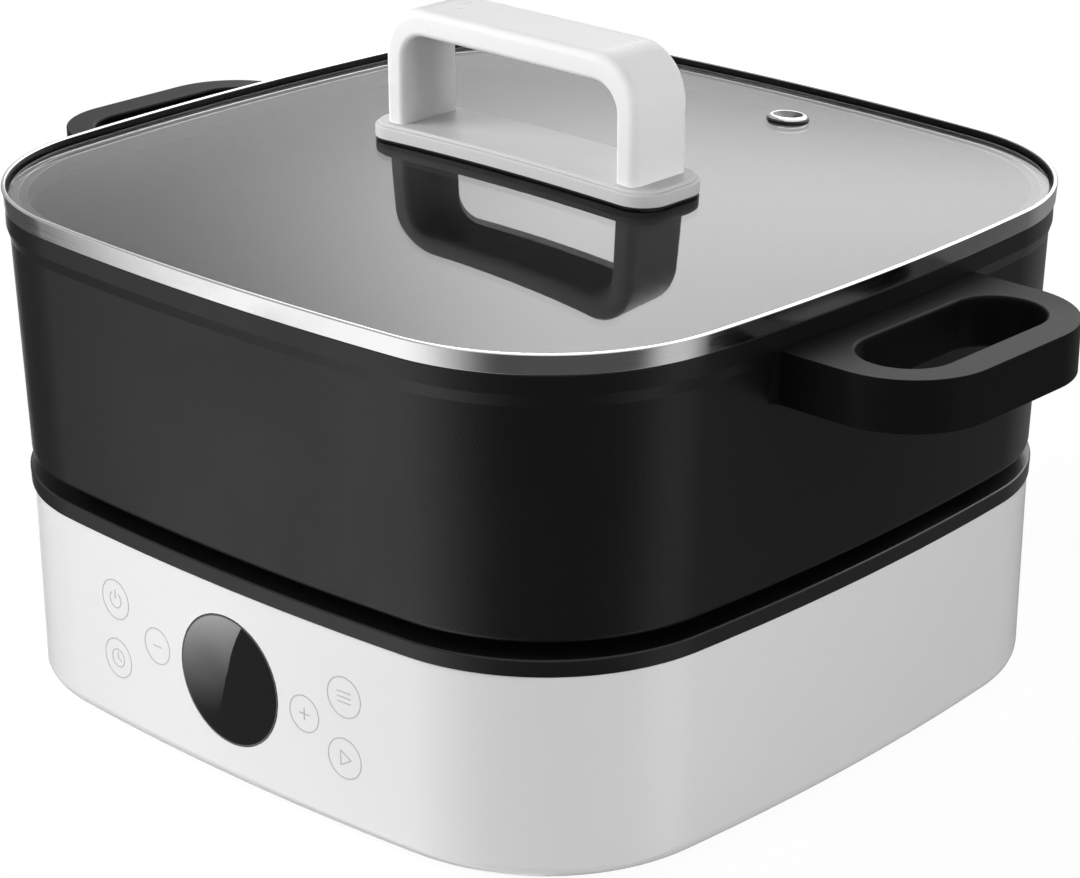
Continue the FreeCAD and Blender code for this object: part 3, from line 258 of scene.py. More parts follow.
OUTLINE = PlanOutline()
DOME = Dome()


def rounded(corners: list[Corner], steps: int = 5, closed: bool = False) -> list[Point]:
    """Round the corners of a profile.

    Args:
        corners: Each corner as across, height and radius, in millimetres.
        steps: Straight pieces in each round corner.
        closed: Whether the last corner joins the first.

    Returns:
        The profile's points in metres.
    """
    points: list[Point] = []
    count = len(corners)
    for index, (across, height, radius) in enumerate(corners):
        corner = Vector((across, height))
        at_end = not closed and index in (0, count - 1)
        if radius == 0 or at_end:
            points.append((across * MM, height * MM))
            continue
        before = corners[index - 1]
        after = corners[(index + 1) % count]
        back = (Vector(before[:2]) - corner).normalized()
        ahead = (Vector(after[:2]) - corner).normalized()
        half = back.angle(ahead) / 2
        centre = corner + (back + ahead).normalized() * radius / math.sin(half)
        start = corner + back * radius / math.tan(half) - centre
        end = corner + ahead * radius / math.tan(half) - centre
        sweep = start.angle_signed(end)
        for step in range(steps + 1):
            spoke = start.copy()
            spoke.rotate(Matrix.Rotation(-sweep * step / steps, 2))
            place = centre + spoke
            points.append((place.x * MM, place.y * MM))
    return points


def faces_in(face: bpy.types.MeshPolygon, slack: float = 0.0) -> bool:
    """Whether a face looks towards the Z axis.

    Args:
        face: The face.
        slack: How far the face may be from looking sideways and still not count.

    Returns:
        Whether it does.
    """
    out = Vector((face.center.x, face.center.y, 0))
    return out.dot(Vector((face.normal.x, face.normal.y, 0))) < -slack


# ------------------------------------------------------------------ modelling moves
class Bench:
    """Modelling moves that the makers share. Every move works in the model's own frame."""

    side_steps: int = 8
    corner_steps: int = 30

    @staticmethod
    def clear() -> None:
        """Leave edit mode and deselect everything."""
        if bpy.context.object and bpy.context.object.mode != "OBJECT":
            bpy.ops.object.mode_set(mode="OBJECT")
        bpy.ops.object.select_all(action="DESELECT")

    @staticmethod
    def focus(piece: Piece, edit: bool = False) -> None:
        """Make a piece the only one selected.

        Args:
            piece: The piece.
            edit: Whether to go on in edit mode.
        """
        Bench.clear()
        piece.select_set(True)
        bpy.context.view_layer.objects.active = piece
        if edit:
            bpy.ops.object.mode_set(mode="EDIT")

    @staticmethod
    def pick(piece: Piece, kind: Element, test: Callable[[Vector, object], bool]) -> None:
        """Select the elements that pass a test, in edit mode.

        Args:
            piece: The piece in edit mode.
            kind: Kind of element.
            test: Takes an element's middle and the element, and says whether to take it.
        """
        bpy.ops.mesh.select_all(action="DESELECT")
        bpy.ops.mesh.select_mode(type=kind.value)
        mesh = bmesh.from_edit_mesh(piece.data)
        for item in mesh.verts if kind is Element.VERTS else mesh.edges:
            middle = item.co if kind is Element.VERTS else (item.verts[0].co + item.verts[1].co) / 2
            if test(middle, item):
                item.select_set(True)
        bmesh.update_edit_mesh(piece.data)

    @staticmethod
    def pick_upper_edge(piece: Piece) -> None:
        """Select the upper edge all round a pad, in edit mode."""
        Bench.pick(piece, Element.EDGES, lambda _, edge: edge.calc_face_angle(0) > SHARP
                   and any(face.normal.z > 0.9 for face in edge.link_faces))

    @staticmethod
    def chain(name: str, points: list[Vector], closed: bool) -> Piece:
        """Draw a chain of edges by extruding one vertex from point to point.

        Args:
            name: Name of the new piece.
            points: The chain's points.
            closed: Whether the last point joins the first.

        Returns:
            The piece, in edit mode with the whole chain selected.
        """
        Bench.clear()
        bpy.ops.mesh.primitive_plane_add(size=MM)
        piece = bpy.context.object
        piece.name = name
        bpy.ops.object.mode_set(mode="EDIT")
        bpy.ops.mesh.select_mode(type="VERT")
        bpy.ops.mesh.select_all(action="SELECT")
        bpy.ops.mesh.merge(type="CENTER")
        bpy.ops.transform.translate(value=points[0])
        for start, end in zip(points, points[1:]):
            bpy.ops.mesh.extrude_vertices_move(TRANSFORM_OT_translate={"value": end - start})
        if closed:
            ends = (points[0], points[-1])
            Bench.pick(piece, Element.VERTS,
                       lambda place, _: any((place - end).length < WELD for end in ends))
            bpy.ops.mesh.edge_face_add()
        bpy.ops.mesh.select_all(action="SELECT")
        return piece

    @staticmethod
    def close_up(fill: bool = False) -> None:
        """Merge doubles, fill open loops if asked and turn the faces outwards, in edit mode.

        Args:
            fill: Whether to fill open loops.
        """
        bpy.ops.mesh.select_all(action="SELECT")
        bpy.ops.mesh.remove_doubles(threshold=WELD)
        if fill:
            bpy.ops.mesh.select_all(action="SELECT")
            bpy.ops.mesh.fill_holes(sides=0)
        bpy.ops.mesh.select_all(action="SELECT")
        bpy.ops.mesh.normals_make_consistent(inside=False)

    @staticmethod
    def sweep(name: str, profile: list[Point], closed: bool) -> Piece:
        """Sweep a profile round the plan outline.

        Args:
            name: Name of the new piece.
            profile: Distance outside the outline and height of each point.
            closed: Whether the profile is a closed loop. An open one is capped at both ends.

        Returns:
            The piece.
        """
        plan, middle = OUTLINE, OUTLINE.corner_centre
        points = [Vector((plan.half + across, 0, height)) for across, height in profile]
        piece = Bench.chain(name, points, closed)
        moves = (
            (Bench.side_steps, plan.turn, (-plan.bow_offset, 0, 0)),
            (Bench.corner_steps, QUARTER - 2 * plan.turn, (middle, middle, 0)),
            (Bench.side_steps, plan.turn, (0, -plan.bow_offset, 0)),
        )
        for steps, angle, centre in moves:
            bpy.ops.mesh.spin(steps=steps, angle=-angle, center=centre, axis=UP)
        bpy.ops.object.mode_set(mode="OBJECT")
        mirror = piece.modifiers.new("quarters", "MIRROR")
        mirror.use_axis = (True, True, False)
        mirror.merge_threshold = WELD
        bpy.ops.object.modifier_apply(modifier=mirror.name)
        bpy.ops.object.mode_set(mode="EDIT")
        Bench.close_up(fill=not closed)
        Bench.clear()
        return piece

    @staticmethod
    def turned(name: str, profile: list[Point], steps: int = 96) -> Piece:
        """Turn a profile about Z.

        Args:
            name: Name of the new piece.
            profile: Radius and height of each point. Its two ends are joined.
            steps: Number of facets round the piece.

        Returns:
            The piece.
        """
        points = [Vector((radius, 0, height)) for radius, height in profile]
        piece = Bench.chain(name, points, closed=True)
        bpy.ops.mesh.spin(steps=steps, angle=FULL_TURN, center=(0, 0, 0), axis=UP)
        Bench.close_up()
        Bench.clear()
        return piece

    @staticmethod
    def plate(name: str, loops: list[list[Vector]], rise: Vector) -> Piece:
        """Make a flat plate with holes and give it a thickness.

        Args:
            name: Name of the new piece.
            loops: The outer loop first, then each hole.
            rise: The plate's thickness as a move.

        Returns:
            The piece, in edit mode.
        """
        piece = Bench.chain(name, loops[0], closed=True)
        for loop in loops[1:]:
            other = Bench.chain(name, loop, closed=True)
            Bench.join([piece, other])
            bpy.ops.object.mode_set(mode="EDIT")
        bpy.ops.mesh.select_all(action="SELECT")
        if len(loops) == 1:
            bpy.ops.mesh.edge_face_add()
        else:
            bpy.ops.mesh.fill(use_beauty=True)
            bpy.ops.mesh.dissolve_limited(angle_limit=0.001)
        bpy.ops.mesh.select_all(action="SELECT")
        bpy.ops.mesh.extrude_region_move(TRANSFORM_OT_translate={"value": rise})
        Bench.close_up()
        return piece

    @staticmethod
    def cushion(
        name: str, plan: Plan, cells: tuple[int, int], top: float, bottom: float, grow: float
    ) -> Piece:
        """Make a pad that fills a plan and follows the glass's dome.

        Args:
            name: Name of the new piece.
            plan: The pad's outline.
            cells: Grid cells along X and Y.
            top: Upper face's height above the glass.
            bottom: Lower face's height above the glass.
            grow: How far outside the plan.

        Returns:
            The piece, in edit mode.
        """
        Bench.clear()
        bpy.ops.mesh.primitive_grid_add(x_subdivisions=cells[0], y_subdivisions=cells[1], size=2)
        piece = bpy.context.object
        piece.name = name
        bpy.ops.object.mode_set(mode="EDIT")
        bpy.ops.mesh.select_all(action="SELECT")
        bpy.ops.mesh.extrude_region_move(TRANSFORM_OT_translate={"value": (0, 0, -1)})
        bpy.ops.mesh.select_all(action="SELECT")
        bpy.ops.mesh.normals_make_consistent(inside=False)
        bpy.ops.object.mode_set(mode="OBJECT")
        for vertex in piece.data.vertices:
            u, v = vertex.co.x, vertex.co.y
            size = max(abs(u), abs(v))
            x = y = 0.0
            if size > WELD:
                x, y = (size * part for part in plan.rim_point(u / size, v / size, grow))
            lift = top if vertex.co.z > -0.5 else bottom
            vertex.co = (x, y, DOME.height(x, y) + lift)
        bpy.ops.object.mode_set(mode="EDIT")
        return piece

    @staticmethod
    def bevel(width: float, segments: int = 3) -> None:
        """Round the selected edges."""
        bpy.ops.mesh.bevel(
            offset_type="OFFSET", offset=width, segments=segments, profile=0.5,
            affect="EDGES", clamp_overlap=True,
        )

    @staticmethod
    def cut(piece: Piece, cutter: Piece) -> None:
        """Take one piece's volume out of another and delete the cutter.

        Args:
            piece: Piece that is cut.
            cutter: Shape of the cut.
        """
        Bench.focus(piece)
        hole = piece.modifiers.new("hole", "BOOLEAN")
        hole.operation = "DIFFERENCE"
        hole.solver = "EXACT"
        hole.object = cutter
        bpy.ops.object.modifier_apply(modifier=hole.name)
        bpy.data.objects.remove(cutter)

    @staticmethod
    def rod(start: Vector, direction: Vector, radius: float, length: float) -> Piece:
        """Plain round cutter from a point along a direction.

        Args:
            start: Middle of its first end.
            direction: Where it runs.
            radius: Its radius.
            length: Its length.

        Returns:
            The cutter.
        """
        Bench.clear()
        middle = start + direction.normalized() * length / 2
        turn = direction.to_track_quat("Z", "Y").to_euler()
        bpy.ops.mesh.primitive_cylinder_add(
            vertices=96, radius=radius, depth=length, location=middle, rotation=turn
        )
        return bpy.context.object

    @staticmethod
    def place(piece: Piece, matrix: Matrix) -> None:
        """Move a finished mesh to its place, leaving its object at the origin.

        Args:
            piece: The piece.
            matrix: The move.
        """
        Bench.clear()
        piece.data.transform(matrix)
        piece.data.update()

    @staticmethod
    def join(pieces: list[Piece]) -> Piece:
        """Join several meshes into the first of them.

        Args:
            pieces: The pieces.

        Returns:
            The joined piece.
        """
        Bench.clear()
        for piece in pieces:
            piece.select_set(True)
        bpy.context.view_layer.objects.active = pieces[0]
        bpy.ops.object.join()
        return pieces[0]

    @staticmethod
    def smooth(piece: Piece) -> None:
        """Shade a piece smooth, with the large faces leading.

        Args:
            piece: The piece.
        """
        Bench.focus(piece)
        bpy.ops.object.transform_apply(location=True, rotation=True, scale=True)
        bpy.ops.object.shade_smooth_by_angle(angle=SMOOTH)
        lead = piece.modifiers.new("lead", "WEIGHTED_NORMAL")
        lead.keep_sharp = True
        bpy.ops.object.modifier_apply(modifier=lead.name)


def settle(
    piece: Piece, body: Body, slot: str, finish: bpy.types.Material, *nodes: str
) -> None:
    """Shade a piece, give it its finish and fix it to its body.

    Args:
        piece: The finished mesh.
        body: Body that it rides on.
        slot: The record's material slot; not used.
        finish: Its material, unless it already has some.
        nodes: CAD nodes that it stands for.
    """
    Bench.smooth(piece)
    if not piece.data.materials:
        piece.data.materials.append(finish)
    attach(piece, body.value)
    if nodes:
        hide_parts(*nodes)
    log.info("%s rides on %s, %d faces", piece.name, body.value, len(piece.data.polygons))


# ------------------------------------------------------------------ nodes
class Fade(Enum):
    """How a number goes from one value to another."""

    EVEN = "LINEAR"
    SOFT = "SMOOTHSTEP"


class Wiring:
    """A node tree under construction."""

    def __init__(self, tree: bpy.types.NodeTree) -> None:
        """Take up a tree."""
        self.tree = tree

    def node(
        self, kind: str, sockets: dict[str | int, object], **settings: object
    ) -> bpy.types.Node:
        """Add a node.

        Args:
            kind: Its type, without the leading ShaderNode.
            sockets: What each input gets: an output, a signal or a plain value.
            settings: The node's own settings.

        Returns:
            The node.
        """
        node = self.tree.nodes.new("ShaderNode" + kind)
        for label, value in settings.items():
            setattr(node, label, value)
        for label, value in sockets.items():
            self.feed(node.inputs[label], value)
        return node

    def add(
        self, kind: str, sockets: dict[str | int, object], output: str | int = 0, **settings: object
    ) -> Socket:
        """Add a node as node() does, and return one of its outputs."""
        return self.node(kind, sockets, **settings).outputs[output]

    def feed(self, socket: Socket, value: object) -> None:
        """Give a socket an output or a plain value.

        Args:
            socket: The socket.
            value: An output, a signal or a plain value.
        """
        source = value.output if isinstance(value, Signal) else value
        if isinstance(source, Socket):
            self.tree.links.new(source, socket)
        else:
            socket.default_value = source


@dataclass(frozen=True)
class Signal:
    """A number in a node tree that sums can be done with.

    Attributes:
        net: The tree.
        output: The output that gives the number.
    """

    net: Wiring
    output: Socket

    def reckon(
        self, operation: str, first: object, second: object, clamp: bool = False
    ) -> "Signal":
        """Result of an operation on two numbers, each a signal or a plain one.

        Args:
            operation: The operation's name.
            first: First number.
            second: Second number.
            clamp: Whether the result is held between 0 and 1.

        Returns:
            The result.
        """
        sockets = {0: first, 1: second}
        output = self.net.add("Math", sockets, operation=operation, use_clamp=clamp)
        return Signal(self.net, output)

    def __add__(self, other: object) -> "Signal":
        """The sum."""
        return self.reckon("ADD", self, other)

    def __sub__(self, other: object) -> "Signal":
        """The difference."""
        return self.reckon("SUBTRACT", self, other)

    def __rsub__(self, other: float) -> "Signal":
        """The difference to a plain number."""
        return self.reckon("SUBTRACT", other, self)

    def __mul__(self, other: object) -> "Signal":
        """The product."""
        return self.reckon("MULTIPLY", self, other)

    def __pow__(self, other: float) -> "Signal":
        """The power."""
        return self.reckon("POWER", self, other)

    def share(self, whole: float) -> "Signal":
        """Share of a whole, held between 0 and 1."""
        return self.reckon("DIVIDE", self, whole, clamp=True)

    def below(self, other: object) -> "Signal":
        """1 where the number is less than another, else 0."""
        return self.reckon("LESS_THAN", self, other)

    def above(self, other: object) -> "Signal":
        """1 where the number is greater than another, else 0."""
        return self.reckon("GREATER_THAN", self, other)

    def span(self, low: float, high: float, start: float = 0.0, end: float = 1.0) -> "Signal":
        """Number that goes smoothly from start to end as this one goes from low to high.

        Args:
            low: This number at the start.
            high: This number at the end.
            start: Result at the start.
            end: Result at the end.

        Returns:
            The result.
        """
        sockets = {"Value": self, "From Min": low, "From Max": high, "To Min": start, "To Max": end}
        output = self.net.add("MapRange", sockets, interpolation_type=Fade.SOFT.value)
        return Signal(self.net, output)

    def mix(self, low: object, high: object) -> "Signal":
        """Number that goes from low to high as this one goes from 0 to 1."""
        sockets = {"Factor": self, "A": low, "B": high}
        return Signal(self.net, self.net.add("Mix", sockets, "Result"))


@dataclass(frozen=True)
class Effect:
    """A surface pattern that several finishes use, as a node group with Height and Mask.

    Attributes:
        name: Name of the group.
        detail: Octaves of its noise.
        roughness: Weight of the finer octaves.
        span: Heights where the mask is empty and where it is full.
        cells: Weight of a cell pattern that is added to the noise.
        warp: Distortion of the noise.
        fade: How the mask comes up.
    """

    name: str
    detail: float
    roughness: float
    span: Point
    cells: float = 0.0
    warp: float = 0.0
    fade: Fade = Fade.EVEN

    def group(self) -> bpy.types.NodeTree:
        """The node group, which is built at the first call."""
        return bpy.data.node_groups.get(self.name) or self._build()

    def _build(self) -> bpy.types.NodeTree:
        """Build the group, with Vector, Scale and Amount as its inputs.

        Returns:
            The group.
        """
        tree = bpy.data.node_groups.new(self.name, "ShaderNodeTree")
        sockets = tree.interface
        sockets.new_socket("Vector", in_out="INPUT", socket_type="NodeSocketVector")
        for label in ("Scale", "Amount"):
            socket = sockets.new_socket(label, in_out="INPUT", socket_type="NodeSocketFloat")
            socket.default_value = 1.0
        for label in ("Height", "Mask"):
            sockets.new_socket(label, in_out="OUTPUT", socket_type="NodeSocketFloat")
        net = Wiring(tree)
        given = tree.nodes.new("NodeGroupInput").outputs
        result = tree.nodes.new("NodeGroupOutput").inputs
        place = {"Vector": given["Vector"], "Scale": given["Scale"]}
        height = net.add("TexNoise", place | {
            "Detail": self.detail, "Roughness": self.roughness, "Distortion": self.warp,
        }, "Fac")
        if self.cells:
            cells = net.add("TexVoronoi", place, "Distance")
            height = net.add("Math", {0: cells, 1: self.cells, 2: height}, operation="MULTIPLY_ADD")
        mask = net.add("MapRange", {
            "Value": height, "From Min": self.span[0], "From Max": self.span[1],
            "To Max": given["Amount"],
        }, interpolation_type=self.fade.value)
        net.feed(result["Height"], height)
        net.feed(result["Mask"], mask)
        return tree


GRAIN = Effect("grain", 3.0, 0.6, (0.35, 0.75), cells=0.45)
HANDLING = Effect("handling", 5.0, 0.62, (0.42, 0.68), warp=0.4, fade=Fade.SOFT)
HAIRLINES = Effect("hairlines", 4.0, 0.7, (0.38, 0.72))


class Board(Wiring):
    """A material under construction: its tree, its Principled shader and its coordinates."""

    def __init__(self, name: str, **values: object) -> None:
        """Start a material with Object coordinates and a Principled shader.

        Args:
            name: The material's name.
            values: Plain values of the shader, by socket name with underscores for spaces.
        """
        self.material = bpy.data.materials.new(name)
        self.material.use_nodes = True
        super().__init__(self.material.node_tree)
        self.shader = self.tree.nodes["Principled BSDF"]
        self.place = self.add("TexCoord", {}, "Object")
        for label, value in values.items():
            self.drive(label.replace("_", " "), value)

    def drive(self, label: str, value: object) -> None:
        """Give one of the shader's sockets an output or a plain value."""
        self.feed(self.shader.inputs[label], value)

    def effect(self, effect: Effect, scale: float, vector: Socket | None = None) -> bpy.types.Node:
        """Add an effect.

        Args:
            effect: The effect.
            scale: Its scale.
            vector: Output that feeds its vector, or None for Object coordinates.

        Returns:
            The group's node.
        """
        sockets = {"Vector": vector or self.place, "Scale": scale}
        return self.node("Group", sockets, node_tree=effect.group())

    def between(self, mask: Socket, low: float, more: float) -> Socket:
        """Number that goes from low to that much more as a mask goes from 0 to 1."""
        return self.add("MapRange", {"Value": mask, "To Min": low, "To Max": low + more})

    def tint(self, mask: Socket, low: Colour, high: Colour) -> Socket:
        """Colour that goes from one to another as a mask goes from 0 to 1.

        Args:
            mask: Output with the mask.
            low: Colour where it is 0.
            high: Colour where it is 1.

        Returns:
            The mix's output.
        """
        sockets = {"Factor": mask, "A": (*low, 1), "B": (*high, 1)}
        return self.add("Mix", sockets, "Result", data_type="RGBA")

    def paint_dark_reflection(self, colour: Socket, painted_reflection: Colour) -> Socket:
        """Painted reflection: colour that gives way to a darker plain one for rays that come off
        another piece's gloss, so the piece's mirror image there is painted dark.

        Args:
            colour: Output with the colour.
            painted_reflection: The plain colour that the painted reflection shows.

        Returns:
            The mix's output.
        """
        share = self.add("LightPath", {}, "Is Glossy Ray")
        sockets = {"Factor": share, "A": colour, "B": (*painted_reflection, 1)}
        return self.add("Mix", sockets, "Result", data_type="RGBA")

    def bump(self, height: Socket, depth: float, strength: float = 1.0) -> None:
        """Feed a height to the shader's normal.

        Args:
            height: Output with the height.
            depth: Depth of the relief in metres.
            strength: Share of the relief that is used.
        """
        sockets = {"Distance": depth, "Strength": strength, "Height": height}
        self.drive("Normal", self.add("Bump", sockets, "Normal"))


# ------------------------------------------------------------------ finishes
def scaled(colour: Colour, share: float) -> Colour:
    """Colour that is darker by a share."""
    return tuple(part * share for part in colour)


@dataclass(frozen=True)
class Finish:
    """A surface.

    Attributes:
        name: Name of the finish.
        colour: Its colour.
    """

    name: str
    colour: Colour


@dataclass(frozen=True)
class Moulded(Finish):
    """Moulded plastic or rubber.

    Attributes:
        roughness: Its roughness where it is clean.
        spread: How much rougher it is where it has been handled.
        grain: Grains in a metre.
        depth: Depth of the grain in metres.
        shade: How much darker the grain's hollows are.
        coat: Weight of a clear gloss on top.
        specular: Level of its plain reflection.
        smear: Roughness of the clear gloss.
        painted_reflection: Brightness of its colour where another piece's gloss shows it, a painted
            darkening of its reflection.
        hands: Scale of the patches where it has been handled.
    """

    roughness: float
    spread: float = 0.08
    grain: float = 1500.0
    depth: float = 0.00002
    shade: float = 0.06
    coat: float = 0.0
    specular: float = 0.5
    smear: float = 0.05
    painted_reflection: float = 1.0
    hands: float = 14.0

    def build(self) -> bpy.types.Material:
        """Build the material.

        Returns:
            The material.
        """
        board = Board(self.name, Specular_IOR_Level=self.specular, Coat_Weight=self.coat,
                      Coat_Roughness=self.smear)
        grain = board.effect(GRAIN, self.grain)
        hands = board.effect(HANDLING, self.hands)
        colour = board.tint(grain.outputs["Mask"], scaled(self.colour, 1 - self.shade), self.colour)
        # Painted reflection: for glossy rays the colour drops to a darker plain one, so the piece's
        # image on the glass is painted dark.
        if self.painted_reflection < 1.0:
            colour = board.paint_dark_reflection(colour, scaled(self.colour, self.painted_reflection))
        board.drive("Base Color", colour)
        board.drive("Roughness", board.between(hands.outputs["Mask"], self.roughness, self.spread))
        board.bump(grain.outputs["Height"], self.depth)
        return board.material


@dataclass(frozen=True)
class Metal(Finish):
    """Bare metal.

    Attributes:
        roughness: Its roughness along the polishing lines.
        spread: How much rougher it is between them.
        stretch: Scale along each axis that draws the lines out.
        depth: Depth of the lines in metres.
        relief: Share of that depth which is used.
        lines: Scale of the lines.
        hands: Scale of the patches where it has been handled.
        dull: Share of its colour that is left there.
    """

    roughness: float
    spread: float = 0.1
    stretch: Corner = (1.0, 1.0, 1.0)
    depth: float = 0.00001
    relief: float = 0.6
    lines: float = 400.0
    hands: float = 22.0
    dull: float = 0.9

    def build(self) -> bpy.types.Material:
        """Build the material.

        Returns:
            The material.
        """
        board = Board(self.name, Metallic=1.0)
        vector = board.add("Mapping", {"Scale": self.stretch, "Vector": board.place}, "Vector")
        lines = board.effect(HAIRLINES, self.lines, vector)
        hands = board.effect(HANDLING, self.hands)
        dull = scaled(self.colour, self.dull)
        board.drive("Base Color", board.tint(hands.outputs["Mask"], self.colour, dull))
        board.drive("Roughness", board.between(lines.outputs["Mask"], self.roughness, self.spread))
        board.bump(lines.outputs["Height"], self.depth, self.relief)
        return board.material


@dataclass(frozen=True)
class Coating(Finish):
    """Sprayed non-stick coating with fine flecks.

    Attributes:
        fleck: Colour of the flecks.
        roughness: Roughness of the coat.
        flecks: Flecks in a metre.
        depth: Depth of the spray's texture in metres.
        specular: Level of its plain reflection.
        size: Distances from a fleck's middle, in cells, where it fades and where it is full.
        spray: Scale of the spray's texture.
        hands: Scale of the patches where it has been handled.
        spread: How much rougher it is there.
    """

    fleck: Colour
    roughness: float
    flecks: float = 900.0
    depth: float = 0.00004
    specular: float = 0.35
    size: Point = (0.16, 0.06)
    spray: float = 1300.0
    hands: float = 10.0
    spread: float = 0.07

    def build(self) -> bpy.types.Material:
        """Build the material.

        Returns:
            The material.
        """
        board = Board(self.name, Specular_IOR_Level=self.specular)
        grain = board.effect(GRAIN, self.spray)
        hands = board.effect(HANDLING, self.hands)
        speck = board.add("TexVoronoi", {"Scale": self.flecks, "Vector": board.place}, "Distance")
        fade, full = self.size
        share = board.add("MapRange", {"From Min": fade, "From Max": full, "Value": speck})
        board.drive("Base Color", board.tint(share, self.colour, self.fleck))
        board.drive("Roughness", board.between(hands.outputs["Mask"], self.roughness, self.spread))
        board.bump(grain.outputs["Height"], self.depth)
        return board.material


@dataclass(frozen=True)
class Glass(Finish):
    """Toughened clear glass with faint smears.

    Attributes:
        ior: Its index of refraction.
        hands: Scale of the smears.
        faint: Share of its colour that is left in them.
        haze: Their roughness.
    """

    ior: float = 1.33
    hands: float = 16.0
    faint: float = 0.97
    haze: float = 0.018

    def build(self) -> bpy.types.Material:
        """Build the material.

        Returns:
            The material.
        """
        board = Board(self.name, Transmission_Weight=1.0, IOR=self.ior)
        smear = board.effect(HANDLING, self.hands).outputs["Mask"]
        board.drive("Base Color", board.tint(smear, self.colour, scaled(self.colour, self.faint)))
        board.drive("Roughness", board.between(smear, 0.0, self.haze))
        return board.material


WHITE = (0.70, 0.70, 0.70)
STEEL = (0.68, 0.68, 0.68)


class Finishes:
    """All the finishes, built once."""

    def __init__(self) -> None:
        """Build every material."""
        self.shell = Moulded("gloss_white_shell", WHITE, 0.2, 0.07, 900.0, 0.000006, 0.015,
                             0.35).build()
        self.cover = Moulded("light_grey_cover", (0.5, 0.5, 0.51), 0.5).build()
        self.rubber = Moulded("black_rubber", (0.02, 0.02, 0.02), 0.7, 0.1, 1800.0, 0.00004).build()
        self.silicone = Moulded("black_silicone", (0.012, 0.012, 0.012), 0.55, 0.1).build()
        self.belt = Moulded("satin_black_belt", (0.006, 0.006, 0.0065), 0.36, 0.08, 1600.0, 0.00003,
                            specular=0.35).build()
        self.loop = Moulded("satin_black_handle", (0.005, 0.005, 0.0055), 0.42, 0.07, 1700.0,
                            0.00003, specular=0.055).build()
        # The white handle and the grey plate carry a painted reflection: their colour drops to a
        # quarter for glossy rays.
        self.bridge = Moulded("satin_white_handle", (0.92, 0.92, 0.92), 0.27, 0.06, 1500.0, 0.00001,
                              0.02, specular=0.22, painted_reflection=0.25).build()
        self.foot = Moulded("light_grey_plate", (0.70, 0.70, 0.71), 0.42, 0.08, 1500.0, 0.00001,
                            0.03, specular=0.18, painted_reflection=0.25).build()
        self.lens = Moulded("gloss_black_lens", (0.004, 0.004, 0.005), 0.004, 0.003, 60.0, 0.0, 0.0,
                            0.4, smear=0.004).build()
        self.mark = Moulded("grey_print", (0.42, 0.42, 0.42), 0.4, 0.05).build()
        self.coating = Coating("black_pot_coating", (0.004, 0.004, 0.0045), (0.012, 0.012, 0.0125),
                               0.33, specular=0.32).build()
        self.nonstick = Coating("black_nonstick", (0.008, 0.008, 0.008), (0.025, 0.025, 0.025), 0.6,
                                700.0, 0.00002, 0.12).build()
        self.glass = Glass("clear_glass", (0.74, 0.75, 0.75)).build()
        self.steel = Metal("polished_steel", STEEL, 0.13, 0.1, (0.15, 0.15, 6.0)).build()
        # Near-black steel: painted shade on the rim's inner wall and lower step and inside the
        # vent's funnel.
        self.painted_shade_steel = Metal("steel_painted_shade", (0.05, 0.05, 0.05), 0.3, 0.1).build()
        self.flange = Metal("dull_steel", (0.32, 0.32, 0.32), 0.5, 0.15).build()
        self.dark_screw = Metal("blackened_screw", (0.03, 0.03, 0.03), 0.45, 0.1).build()
        self.screw = Metal("plated_screw", (0.5, 0.5, 0.49), 0.3, 0.15).build()
        self.casting = Metal("machined_casting", (0.55, 0.55, 0.56), 0.32, 0.2,
                             (4.0, 4.0, 0.2)).build()
        self.sheet = Metal("bright_sheet", (0.72, 0.72, 0.73), 0.2, 0.15, (0.5, 4.0, 0.5)).build()
        self.tube = Metal("oxidised_tube", (0.24, 0.22, 0.2), 0.45, 0.2).build()
        self.board = Moulded("green_circuit_board", (0.01, 0.09, 0.035), 0.32, 0.1, 500.0).build()
        self.component = Moulded("black_component", (0.02, 0.02, 0.02), 0.4).build()
        self.winding = Moulded("amber_winding", (0.45, 0.28, 0.04), 0.4, 0.1, 700.0).build()
        self.housing = Moulded("white_module", (0.62, 0.62, 0.6), 0.42).build()
        self.blade = Metal("plated_blade", (0.62, 0.6, 0.56), 0.22).build()


@dataclass
class Maker:
    """Maker of a sub-assembly.

    Attributes:
        finishes: The finishes that it dresses its pieces in.
    """

    finishes: Finishes


